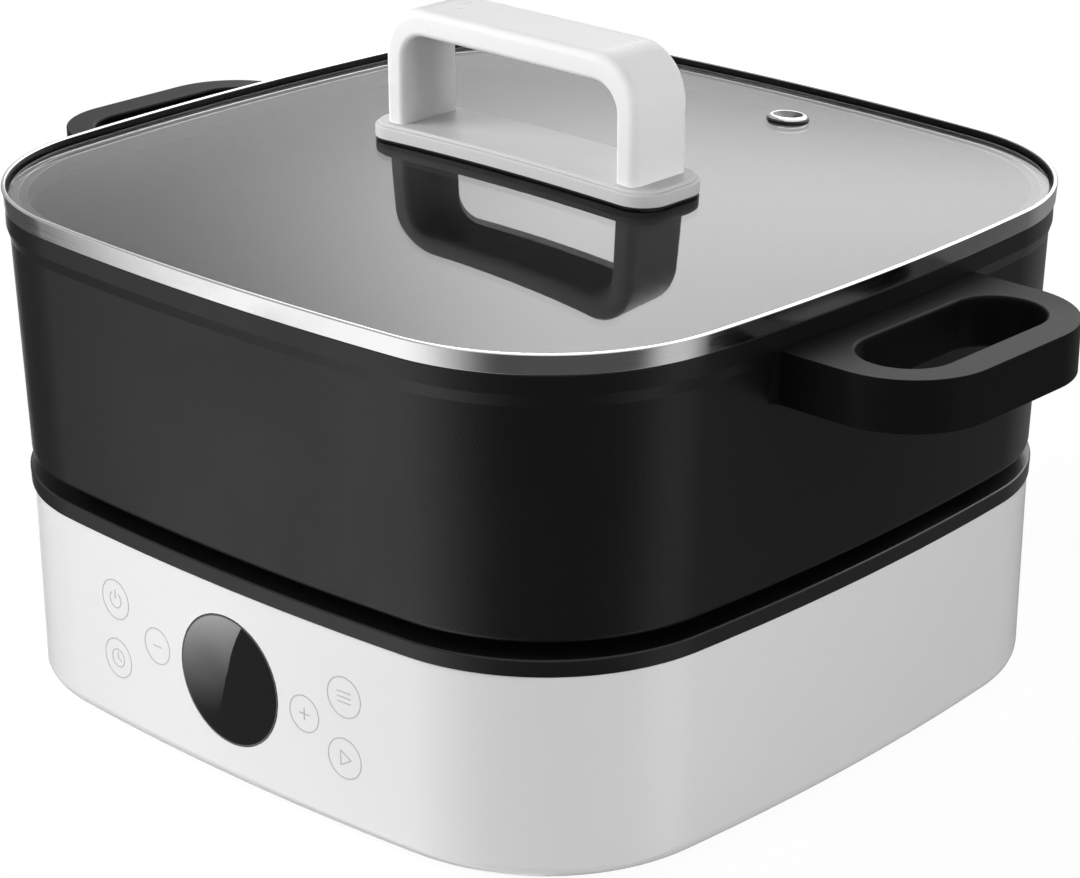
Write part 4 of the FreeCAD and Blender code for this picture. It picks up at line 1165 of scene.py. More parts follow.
# ------------------------------------------------------------------ base
@dataclass
class BaseHousing(Maker):
    """White shell of the base, in one bowed wall with a turned-in flange below.

    Attributes:
        bottom: Height of its lower edge.
        top: Height of its upper edge.
        wall: Thickness of the wall.
        rise: Height of the flange's top above the lower edge.
        middle: Height of the display window's centre.
        window: Radius of that window.
        socket: Half length and half height of the inlet's opening.
        starts: Y where the cutters of the window and of the inlet start.
        inset: How far in the lower edge's inner face and the flange's end lie.
        edge: Radius of the window's front edge.
    """

    bottom: float = 3.0
    top: float = 74.1
    wall: float = 2.5
    rise: float = 4.7
    middle: float = 41.0
    window: float = 22.85
    socket: Point = (14.3, 10.3)
    starts: Point = (-155.0, 130.0)
    inset: Point = (9.0, 18.0)
    edge: float = 0.3

    def build(self) -> None:
        """Sweep the shell, open its front window and its rear socket."""
        flange = self.bottom + self.rise
        under = flange - self.wall
        inner, end = self.inset
        profile = rounded([
            (0, self.bottom, 6.0), (0, self.top, 0.8), (-self.wall, self.top, 0.2),
            (-self.wall, flange, 0.5), (-end, flange, 0.3), (-end, under, 0.3),
            (-inner, under, 0.2), (-inner, self.bottom, 0.3),
        ], steps=6, closed=True)
        shell = Bench.sweep("shell_skin", profile, closed=True)
        start = Vector((0, self.starts[0], self.middle)) * MM
        Bench.cut(shell, Bench.rod(start, Vector((0, 1, 0)), self.window * MM, WALL_CUT))
        Bench.cut(shell, self._socket())
        Bench.focus(shell, edit=True)
        Bench.pick(shell, Element.EDGES, self._window_edge)
        Bench.bevel(self.edge * MM, 3)
        settle(shell, Body.BASE, "white_shell", self.finishes.shell, "base_shell")

    def _window_edge(self, place: Vector, _: object) -> bool:
        """Whether an edge's middle lies on the front rim of the display's window.

        Args:
            place: The edge's middle.
            _: The edge, which has no say.

        Returns:
            Whether it does.
        """
        across = math.hypot(place.x, place.z - self.middle * MM)
        on_wall = abs(place.y - OUTLINE.front(place.x)) < 0.05 * MM
        return on_wall and abs(across - self.window * MM) < 0.1 * MM

    def _socket(self) -> Piece:
        """Cutter for the power inlet's opening.

        Returns:
            The cutter.
        """
        low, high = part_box("power_inlet")
        half, rise, start = (value * MM for value in (*self.socket, self.starts[1]))
        middle = (low.z + high.z) / 2
        corners = ((-1, -1), (1, -1), (1, 1), (-1, 1))
        loop = [Vector((x * half, start, middle + z * rise)) for x, z in corners]
        cutter = Bench.plate("socket_cutter", [loop], Vector((0, WALL_CUT, 0)))
        Bench.clear()
        return cutter


@dataclass
class TopDeck(Maker):
    """Black belt round the top of the base with the deck sunk inside it.

    Attributes:
        bottom: Height where the belt stands on the shell.
        top: Height of the belt's level top.
        deck: Height of the deck.
        wall: Thickness of the belt's top and of the deck.
        hole: Radius of the deck's hole.
        below: Height under the deck where the hole's cutter starts.
        skirt: How far the belt reaches down inside the shell, and its inner and outer face.
        ledge: How far in the belt's top and its underside end.
    """

    bottom: float = 74.1
    top: float = 80.0
    deck: float = 76.0
    wall: float = 2.5
    hole: float = 100.0
    below: float = 60.0
    skirt: Corner = (6.0, -4.8, -2.8)
    ledge: Point = (-13.0, -10.5)

    def build(self) -> None:
        """Sweep the belt with its deck and cut the plate's hole."""
        under_deck, under_top = self.deck - self.wall, self.top - self.wall
        drop, inner, outer = self.skirt
        edge, under_edge = self.ledge
        foot = self.bottom - drop
        profile = rounded([
            (-30, under_deck, 0), (under_edge, under_deck, 0.3), (under_edge, under_top, 0.3),
            (inner, under_top, 0.3), (inner, foot, 0.3), (outer, foot, 0.3),
            (outer, self.bottom, 0.2), (0.6, self.bottom, 0.25), (0.8, self.top, 0.8),
            (edge, self.top, 0.6), (edge, self.deck, 0.6), (-30, self.deck, 0),
        ])
        belt = Bench.sweep("belt_skin", profile, closed=False)
        Bench.cut(belt, Bench.rod(UP * self.below * MM, UP, self.hole * MM, WALL_CUT))
        settle(belt, Body.BASE, "black_deck", self.finishes.belt, "top_deck")


@dataclass(frozen=True)
class Key:
    """Print of one touch key: a ring and a plain sign in it.

    Attributes:
        name: Name of the sign.
        across: X of the key's centre.
        rise: Height of its centre above the display's.
        strokes: Both ends of each stroke of the sign, from the key's centre.
        ring: Radius of the key's ring.
        width: Width of the strokes.
        arc: Radius of the sign's own ring and the angle left open in it, or nothing.
    """

    name: str
    across: float
    rise: float
    strokes: tuple[tuple[Point, Point], ...]
    ring: float = 7.0
    width: float = 0.42
    arc: tuple[float, ...] = ()


DASH = ((-2.0, 0), (2.0, 0))
KEYS = (
    Key("minus", -35.3, 0.8, (DASH,), 6.35, 0.45),
    Key("plus", 34.6, -0.5, (DASH, ((0, -2.0), (0, 2.0))), 6.35, 0.45),
    Key("power", -56.6, 10.8, (((0, 0.6), (0, 3.5)),), arc=(2.9, 70.0)),
    Key("clock", -56.9, -10.8, (((0, 0), (0, 2.1)), ((0, 0), (1.5, -0.9))), arc=(3.2,)),
    Key("list", 52.2, 10.8, tuple(((-2.8, rise), (2.8, rise)) for rise in (-1.8, 0.0, 1.8))),
    Key("start", 51.8, -10.8,
        (((-1.7, -2.6), (-1.7, 2.6)), ((-1.7, 2.6), (2.7, 0)), ((2.7, 0), (-1.7, -2.6)))),
)


@dataclass
class FrontPanel(Maker):
    """Round display and six touch keys on the front of the shell.

    Attributes:
        height: Height of the display's centre.
        lens: Radius of the lens.
        line: Width of the printed rings.
        film: Thickness of the print.
    """

    height: float = 41.0
    lens: float = 22.8
    line: float = 0.42
    film: float = 0.04

    def build(self) -> None:
        """Make the lens, then every key's ring and sign."""
        self._lens()
        for key in KEYS:
            self._key(key)

    def _lens(self) -> None:
        """Gloss disc with a thin flange behind it, bent to the shell's bow."""
        profile = rounded([
            (0, -3.7, 0), (25.0, -3.7, 0.2), (25.0, -2.5, 0.2), (self.lens, -2.5, 0),
            (self.lens, 0, 0.35), (22.1, 0, 0), (12, 0, 0), (0, 0, 0),
        ], steps=4)
        lens = Bench.turned("display_glass", profile, steps=128)
        self._mount(lens, 0.0, self.height)
        settle(lens, Body.BASE, "black_lens", self.finishes.lens, "display_lens")

    def _mount(self, piece: Piece, across: float, height: float) -> None:
        """Stand a piece made round Z on the front wall and bend it to the wall's bow.

        Args:
            piece: The piece.
            across: X of its centre.
            height: Height of its centre.
        """
        upright = Matrix.Rotation(math.pi / 2, 4, "X")
        place = Matrix.Translation((across * MM, 0, height * MM))
        Bench.place(piece, place @ upright)
        for vertex in piece.data.vertices:
            vertex.co.y += OUTLINE.front(vertex.co.x)

    def _ring(self, radius: float, gap: float = 0.0) -> Piece:
        """Thin printed ring, with an opening at its top if a gap is given.

        Args:
            radius: Radius of the ring's middle.
            gap: Angle left open in degrees.

        Returns:
            The ring.
        """
        near, far = radius - self.line / 2, radius + self.line / 2
        start = Matrix.Rotation(math.radians(90 + gap / 2), 4, "Z")
        corners = ((near, 0), (far, 0), (far, self.film), (near, self.film))
        points = [start @ (Vector((across, 0, height)) * MM) for across, height in corners]
        ring = Bench.chain("ring", points, closed=True)
        sweep = FULL_TURN - math.radians(gap)
        bpy.ops.mesh.spin(steps=64, angle=-sweep, center=(0, 0, 0), axis=UP)
        Bench.close_up(fill=gap > 0)
        Bench.clear()
        return ring

    def _bar(self, start: Point, end: Point, width: float) -> Piece:
        """Thin printed stroke with round ends.

        Args:
            start: One end, from the key's centre.
            end: The other end.
            width: The stroke's width.

        Returns:
            The stroke.
        """
        along = Vector(end) - Vector(start)
        angle = math.atan2(along.y, along.x)
        loop = []
        for centre, first in ((end, -90), (start, 90)):
            for step in range(7):
                turn = angle + math.radians(first + 30 * step)
                x = centre[0] + width / 2 * math.cos(turn)
                y = centre[1] + width / 2 * math.sin(turn)
                loop.append(Vector((x, y, 0)) * MM)
        bar = Bench.plate("bar", [loop], Vector((0, 0, self.film * MM)))
        Bench.clear()
        return bar

    def _key(self, key: Key) -> None:
        """Print one key's ring and sign on the shell.

        Args:
            key: The key.
        """
        parts = [self._ring(key.ring)]
        parts += [self._bar(start, end, key.width) for start, end in key.strokes]
        if key.arc:
            parts.append(self._ring(*key.arc))
        mark = Bench.join(parts)
        mark.name = f"key_{key.name}"
        self._mount(mark, key.across, self.height + key.rise)
        settle(mark, Body.BASE, "grey_cover", self.finishes.mark)


@dataclass
class InnerWorks(Maker):
    """The pieces inside the base and the small fasteners, which keep their CAD shapes.

    Attributes:
        coil: Radius of the sensor spring's coil.
        wire: Radius of its wire.
        turns: Number of its turns.
        facets: Facets round the wire, and along one turn.
    """

    coil: float = 6.5
    wire: float = 0.45
    turns: int = 4
    facets: tuple[int, int] = (10, 32)

    def build(self) -> None:
        """Give each remaining CAD node its finish and coil the sensor's spring."""
        finishes = self.finishes
        dressing = (
            (finishes.cover, ("bottom_cover",)),
            (finishes.rubber, ("feet",)),
            (finishes.casting, ("heating_plate",)),
            (finishes.tube, ("heating_element", "thermostat")),
            (finishes.silicone, ("plate_seal", "touch_pads", "handle_washers")),
            (finishes.sheet, ("heat_shield", "sensor_guide", "sensor_button")),
            (finishes.screw, (
                "cover_screws", "shield_screws", "plate_posts", "plate_screws", "board_screws",
                "power_board_screws", "inlet_screws", "lid_handle_screws",
            )),
            (finishes.dark_screw, ("side_handle_screws",)),
            (finishes.housing, ("display_module", "terminal_block")),
            (finishes.board, ("control_board", "power_board")),
            (finishes.component, ("board_relay", "board_capacitors", "power_inlet")),
            (finishes.winding, ("board_transformer",)),
            (finishes.blade, ("inlet_blades",)),
            (finishes.steel, ("vent_nut",)),
        )
        for finish, nodes in dressing:
            for node in nodes:
                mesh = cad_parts[node].data
                mesh.materials.clear()
                mesh.materials.append(finish)
                log.info("%s is dressed in %s", node, finish.name)
        self._spring()

    def _spring(self) -> None:
        """Coil spring under the sensor's button."""
        low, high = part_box("sensor_spring")
        wire = self.wire * MM
        around, along = self.facets
        loop = []
        for step in range(around):
            angle = FULL_TURN * step / around
            across = self.coil * MM + wire * math.cos(angle)
            loop.append(Vector((across, 0, low.z + wire + wire * math.sin(angle))))
        spring = Bench.chain("sensor_coil", loop, closed=True)
        bpy.ops.object.mode_set(mode="OBJECT")
        coil = spring.modifiers.new("coil", "SCREW")
        coil.angle = FULL_TURN * self.turns
        coil.screw_offset = high.z - low.z - 2 * wire
        coil.steps = coil.render_steps = along * self.turns
        bpy.ops.object.modifier_apply(modifier=coil.name)
        bpy.ops.object.mode_set(mode="EDIT")
        Bench.close_up(fill=True)
        settle(spring, Body.BASE, "spring_steel", self.finishes.screw, "sensor_spring")


# ------------------------------------------------------------------ pot
@dataclass
class CookingPot(Maker):
    """Black coated pot: leaning wall, raised base, and a lip round the top.

    Attributes:
        base: Height of the base's underside.
        bottom: Height of the wall's lower edge.
        floor: Height of the inside floor.
        lip: Height where the lip starts.
        top: Height of the lip's top.
    """

    base: float = 79.5
    bottom: float = 84.5
    floor: float = 86.5
    lip: float = 161.5
    top: float = 172.0

    def build(self) -> None:
        """Sweep the pot and coat its inside."""
        profile = rounded([
            (-30, self.base, 0), (-17, self.base, 2.0), (-17, self.bottom, 1.0),
            (-0.3, self.bottom, 2.5), (1.84, self.lip, 1.2), (3.0, self.lip + 4, 0.5),
            (3.0, self.top, 0.6), (-2.05, self.top, 0.5), (-4.3, self.floor, 14.0),
            (-32, self.floor, 0),
        ], steps=7)
        pot = Bench.sweep("pot_skin", profile, closed=False)
        for finish in (self.finishes.coating, self.finishes.nonstick):
            pot.data.materials.append(finish)
        for face in pot.data.polygons:
            height = face.center.z
            wetted = (self.floor - 1) * MM < height < (self.top - 0.4) * MM
            face.material_index = int(wetted and (faces_in(face) or face.normal.z > 0.9))
        settle(pot, Body.POT, "black_coating", self.finishes.coating, "pot_body")


@dataclass
class SideHandles(Maker):
    """The two loop handles on the pot's sides.

    Attributes:
        root: X where a loop's root lies inside the pot's wall.
        stub: X where the loop starts before its root is cut off.
        wall: X of the wall that the flare runs out on.
        reach: X of the loop's outer side.
        half: Half the loop's width.
        corner: Radius of the outer corners.
        flare: Radius where the loop meets the pot.
        slot: Near side, far side and half width of the finger slot.
        levels: Heights of the underside and of the top.
        edges: Radii of the upper edge, the lower edge and the slot's edges.
    """

    root: float = 143.6
    stub: float = 130.0
    wall: float = 145.0
    reach: float = 202.0
    half: float = 50.0
    corner: float = 30.0
    flare: float = 3.0
    slot: Corner = (159.0, 190.0, 38.5)
    levels: Point = (148.0, 165.2)
    edges: Corner = (5.0, 6.5, 1.2)

    def build(self) -> None:
        """Make the right handle, and a turned copy on the left."""
        right = self._loop()
        Bench.clear()
        left = right.copy()
        left.data = right.data.copy()
        bpy.context.scene.collection.objects.link(left)
        Bench.place(left, Matrix.Rotation(math.pi, 4, "Z"))
        right.name = "loop_right"
        left.name = "loop_left"
        for piece, node in ((right, "side_handle_right"), (left, "side_handle_left")):
            settle(piece, Body.POT, "black_handle", self.finishes.loop, node)

    def _outer(self) -> list[Vector]:
        """Plan of the loop, counter-clockwise from its root.

        Returns:
            The points.
        """
        root = self.half + self.flare
        foot, bend, side = self.wall + self.flare, self.reach - self.corner, self.half - self.corner
        points = [(self.stub, -root)]
        points += self._arc(foot, -root, self.flare, 180, 90)
        points += self._arc(bend, -side, self.corner, -90, 0)
        points += self._arc(bend, side, self.corner, 0, 90)
        points += self._arc(foot, root, self.flare, 270, 180)
        points.append((self.stub, root))
        return [Vector((x, y, self.levels[0])) * MM for x, y in points]

    def _inner(self) -> list[Vector]:
        """Plan of the finger slot.

        Returns:
            The points.
        """
        near, far, half = self.slot
        radius = (far - near) / 2
        middle = (near + far) / 2
        points = self._arc(middle, half - radius, radius, 0, 180)
        points += self._arc(middle, radius - half, radius, 180, 360)
        return [Vector((x, y, self.levels[0])) * MM for x, y in points]

    @staticmethod
    def _arc(x: float, y: float, radius: float, start: float, end: float) -> list[Point]:
        """Points of an arc, one every five degrees or so.

        Args:
            x: X of its centre.
            y: Y of its centre.
            radius: Its radius.
            start: Angle of its first point in degrees.
            end: Angle of its last point.

        Returns:
            The points.
        """
        count = max(4, round(abs(end - start) / 5))
        points = []
        for step in range(count + 1):
            angle = math.radians(start + (end - start) * step / count)
            points.append((x + radius * math.cos(angle), y + radius * math.sin(angle)))
        return points

    def _loop(self) -> Piece:
        """The right handle with its edges rounded.

        Returns:
            The handle.
        """
        rise = Vector((0, 0, (self.levels[1] - self.levels[0]) * MM))
        loop = Bench.plate("loop", [self._outer(), self._inner()], rise)
        near, far, half = (value * MM for value in self.slot)
        bottom, top = (value * MM for value in self.levels)
        upper, lower, narrow = (value * MM for value in self.edges)
        stub = self.stub * MM
        slack = 0.2 * MM

        def on_slot(place: Vector) -> bool:
            """Whether a place lies on the slot's wall."""
            return near - slack < place.x < far + slack and abs(place.y) < half + slack

        def level(edge: bmesh.types.BMEdge, height: float) -> bool:
            """Whether both ends of an edge lie at a height."""
            return all(abs(end.co.z - height) < NEAR for end in edge.verts)

        def rim(edge: bmesh.types.BMEdge, *heights: float) -> bool:
            """Whether an edge lies at one of the heights and turns from level to upright."""
            upright = edge.is_manifold and abs(edge.calc_face_angle(0) - QUARTER) < 0.02
            return upright and any(level(edge, height) for height in heights)

        def outer(place: Vector) -> bool:
            """Whether a place lies on the loop's outside, clear of its root."""
            return place.x > stub + slack and not on_slot(place)

        Bench.pick(loop, Element.EDGES, lambda p, edge: rim(edge, top) and outer(p))
        Bench.bevel(upper, 8)
        Bench.pick(loop, Element.EDGES, lambda p, edge: rim(edge, bottom) and outer(p))
        Bench.bevel(lower, 7)
        Bench.pick(loop, Element.EDGES, lambda p, edge: rim(edge, top, bottom) and on_slot(p))
        Bench.bevel(narrow, 4)
        bpy.ops.mesh.select_all(action="SELECT")
        bpy.ops.mesh.bisect(
            plane_co=(self.root * MM, 0, 0), plane_no=(1, 0, 0), use_fill=True, clear_inner=True
        )
        Bench.close_up()
        return loop


# ------------------------------------------------------------------ lid
@dataclass
class GlassLid(Maker):
    """Domed glass in a steel rim, with a steam vent.

    Attributes:
        foot: Height of the rim's foot.
        top: Height of the rim's top.
        seat: Height of the rim's flange above its foot, beside the glass and under it.
        skirt: How far the rim reaches down into the pot.
        glass: Thickness of the glass.
        lap: How far the glass reaches out over the plan outline.
        ground: Radius of its ground edge.
        screws: X of the handle's screw holes.
        below: Height under the glass where their cutters start.
        holes: Radius of those holes and of the vent's.
        vent: X and Y of the steam vent.
    """

    foot: float = 172.0
    top: float = 178.6
    seat: Point = (0.8, 0.45)
    skirt: float = 5.5
    glass: float = 3.2
    lap: float = 1.3
    ground: float = 0.4
    screws: Point = (-52.2, 52.2)
    below: float = 170.0
    holes: Point = (3.0, 3.9)
    vent: Point = (23.5, 106.5)

    def build(self) -> None:
        """Make the rim, the glass and the vent."""
        self._rim()
        self._glass()
        self._vent()

    def _rim(self) -> None:
        """Steel channel with a flange under the glass and a skirt inside the pot."""
        ledge, flange = (self.foot + rise for rise in self.seat)
        skirt = self.foot - self.skirt
        profile = rounded([
            (3.5, self.foot, 0.25), (3.9, self.top, 0.57), (2.3, self.top, 0.5), (2.3, ledge, 0.1),
            (-1.7, ledge, 0), (-2.05, flange, 0), (-5.0, flange, 0.2), (-5.0, skirt, 0.3),
            (-4.2, skirt, 0.3), (-4.2, self.foot, 0.25),
        ], steps=4, closed=True)
        rim = Bench.sweep("rim_skin", profile, closed=True)
        for finish in (self.finishes.steel, self.finishes.painted_shade_steel, self.finishes.flange):
            rim.data.materials.append(finish)
        # Upright inward faces above the skirt, and the lower level step, get near-black steel:
        # painted shade. The skirt's inner face and the upper step get dull steel.
        for face in rim.data.polygons:
            height = face.center.z
            if faces_in(face) and abs(face.normal.z) < 0.1:
                face.material_index = 2 if height < (self.foot - 0.5) * MM else 1
            elif face.normal.z > 0.9 and height < (self.foot + 1) * MM:
                face.material_index = 2 if height > (self.foot + 0.6) * MM else 1
        settle(rim, Body.LID, "rim_steel", self.finishes.steel, "lid_rim")

    def _glass(self) -> None:
        """Domed pane with a ground edge and its holes."""
        pane = Bench.cushion("glass_pane", OUTLINE, (72, 72), 0.0, -self.glass * MM, self.lap * MM)
        Bench.pick_upper_edge(pane)
        Bench.bevel(self.ground * MM, 2)
        Bench.clear()
        screw_hole, vent_hole = (radius * MM for radius in self.holes)
        for x in self.screws:
            start = Vector((x, 0, self.below)) * MM
            Bench.cut(pane, Bench.rod(start, UP, screw_hole, GLASS_CUT))
        middle, square = self._vent_seat()
        start = middle - square * GLASS_CUT / 2
        Bench.cut(pane, Bench.rod(start, square, vent_hole, GLASS_CUT))
        settle(pane, Body.LID, "clear_glass", self.finishes.glass, "lid_glass")

    def _vent_seat(self) -> tuple[Vector, Vector]:
        """Middle of the vent on the glass, and the direction square to the glass there."""
        x, y = (value * MM for value in self.vent)
        return Vector((x, y, DOME.height(x, y))), DOME.normal(x, y)

    def _at_vent(self, piece: Piece) -> None:
        """Move a piece made round Z to the vent, square to the glass.

        Args:
            piece: The piece.
        """
        middle, square = self._vent_seat()
        turn = square.to_track_quat("Z", "Y").to_matrix().to_4x4()
        Bench.place(piece, Matrix.Translation(middle) @ turn)

    def _vent(self) -> None:
        """Steel eyelet with a funnel mouth on a black ring."""
        eyelet = Bench.turned("vent_eyelet", rounded([
            (1.9, -7.5, 0), (3.6, -7.5, 0.2), (3.6, 0.65, 0.1), (7.2, 0.65, 0.2), (7.2, 1.85, 1.1),
            (5.4, 1.85, 0.3), (1.9, -0.05, 0.2), (1.9, -3.0, 0),
        ], steps=4))
        for finish in (self.finishes.steel, self.finishes.painted_shade_steel):
            eyelet.data.materials.append(finish)
        # Inward faces below the top, the funnel's inside, get near-black steel: painted shade.
        for face in eyelet.data.polygons:
            face.material_index = 1 if faces_in(face, WELD) and face.center.z < 1.7 * MM else 0
        self._at_vent(eyelet)
        settle(eyelet, Body.LID, "rim_steel", self.finishes.steel, "steam_vent")
        ring = Bench.turned("vent_ring", rounded([
            (3.65, 0.05, 0.1), (7.6, 0.05, 0.2), (7.6, 0.65, 0.25), (3.65, 0.65, 0.1),
        ], steps=3, closed=True))
        self._at_vent(ring)
        settle(ring, Body.LID, "black_silicone", self.finishes.silicone, "vent_seal")


@dataclass
class LidHandle(Maker):
    """White bridge handle on a light grey foot plate with a gasket.

    Attributes:
        half: Half the handle's length.
        depth: Its width.
        top: Height of its top.
        bridge: Thickness of the bridge.
        leg: Thickness of a leg.
        outer: Radius of the outer corners.
        inner: Radius of the inner corners.
        bottom: Height inside the plate where the legs end.
        margin: How far the plate reaches out along X and along Y.
        corner: Radius of the plate's corners.
        edges: Radii of the bar's edges, outside and round the finger gap.
    """

    half: float = 56.5
    depth: float = 27.0
    top: float = 229.39
    bridge: float = 9.6
    leg: float = 8.6
    outer: float = 18.0
    inner: float = 9.5
    bottom: float = 186.0
    margin: Point = (7.7, 3.7)
    corner: float = 11.0
    edges: Point = (3.2, 2.2)

    def build(self) -> None:
        """Make the bridge, its plate and the gasket."""
        self._bridge()
        self._pad("foot_plate", 0.0, (0.85, 5.0), 0.7, "grey_plate", "handle_plate")
        self._pad("foot_step", -1.4, (4.9, 6.0), 0.5, "grey_plate")
        self._pad("foot_gasket", -0.3, (0.05, 0.8), 0.2, "black_silicone", "handle_gasket")

    def _arch(self, half: float, top: float, radius: float, bottom: float) -> list[Vector]:
        """Upright arch in the plane of the handle's front, from the right foot over to the left.

        Args:
            half: Half its width.
            top: Height of its top.
            radius: Radius of its two bends.
            bottom: Height of its feet.

        Returns:
            The points.
        """
        points = [(half, bottom)]
        for step in range(13):
            angle = QUARTER * step / 12
            x = half - radius + radius * math.cos(angle)
            points.append((x, top - radius + radius * math.sin(angle)))
        points += [(-x, z) for x, z in reversed(points)]
        return [Vector((x, -self.depth / 2, z)) * MM for x, z in points]

    def _bridge(self) -> None:
        """Bridge and legs as one bent bar with soft edges."""
        outside = self._arch(self.half, self.top, self.outer, self.bottom)
        inside = self._arch(self.half - self.leg, self.top - self.bridge, self.inner, self.bottom)
        loop = outside + list(reversed(inside))
        bridge = Bench.plate("bridge", [loop], Vector((0, self.depth * MM, 0)))
        gap = (self.half - self.leg) * MM + NEAR
        gap_top = (self.top - self.bridge) * MM + NEAR
        foot = self.bottom * MM + NEAR
        outside_edge, gap_edge = (value * MM for value in self.edges)

        def rim(place: Vector, edge: bmesh.types.BMEdge) -> bool:
            """Whether a sharp edge lies on the front or back face above the feet."""
            on_face = abs(abs(place.y) - self.depth / 2 * MM) < NEAR
            return on_face and place.z > foot and edge.calc_face_angle(0) > SHARP

        def inward(place: Vector) -> bool:
            """Whether a place lies on the finger gap's edge."""
            return abs(place.x) < gap and place.z < gap_top

        Bench.pick(bridge, Element.EDGES, lambda p, edge: rim(p, edge) and not inward(p))
        Bench.bevel(outside_edge, 6)
        Bench.pick(bridge, Element.EDGES, lambda p, edge: rim(p, edge) and inward(p))
        Bench.bevel(gap_edge, 5)
        settle(bridge, Body.LID, "white_handle", self.finishes.bridge, "lid_handle")

    def _pad(
        self, name: str, grow: float, lifts: Point, edge: float, slot: str, *nodes: str
    ) -> None:
        """Make one pad of the foot, bent to the dome.

        Args:
            name: Name of the new piece.
            grow: How far outside the plate's outline.
            lifts: Heights of its two faces above the glass.
            edge: Radius of its upper edge.
            slot: The record's material slot.
            nodes: CAD nodes that it stands for.
        """
        along, across = self.margin
        plan = RoundedRectangle(
            (self.half + along) * MM, (self.depth / 2 + across) * MM, self.corner * MM
        )
        low, high = lifts
        pad = Bench.cushion(name, plan, (56, 20), high * MM, low * MM, grow * MM)
        Bench.pick_upper_edge(pad)
        Bench.bevel(edge * MM, 3)
        finish = self.finishes.foot if slot == "grey_plate" else self.finishes.silicone
        settle(pad, Body.LID, slot, finish, *nodes)


# ------------------------------------------------------------------ studio
@dataclass(frozen=True)
class StripLight:
    """Upright soft light that only glossy surfaces see.

    Attributes:
        rise: Bearings in degrees, from the front towards +X, between which it comes up.
        fall: Bearings between which it fades.
        level: Its brightness.
    """

    rise: Point
    fall: Point
    level: float


@dataclass(frozen=True)
class Card:
    """Small graded card low at the front left, which the display mirrors.

    It lies in a plane of its own, whose unit is about the radius of the display's mirror image.

    Attributes:
        across: Axis of the plane to the side.
        up: Axis of the plane upwards.
        ahead: Direction of its middle.
        facing: How near to that direction the card is seen.
        reach: Square of the radius outside which it isn't seen.
        slope: How fast its dark lower edge climbs to the side.
        foot: How far below the middle that edge lies.
        height: Height over which it brightens.
        curve: Power that it brightens with.
        level: Its full brightness.
        dark: Brightness of the rest of the disc.
        edge: Slope of its right edge, and that edge's place at the middle.
    """

    across: Corner = (11.66, -13.358, 0.0)
    up: Corner = (-12.689, -19.627, 46.553)
    ahead: Corner = (-0.678, -0.5928, -0.4346)
    facing: float = 0.9
    reach: float = 1.06
    slope: float = 0.33
    foot: float = 0.59
    height: float = 1.67
    curve: float = 1.9
    level: float = 4.1
    dark: float = 0.15
    edge: Point = (0.39, -0.078)


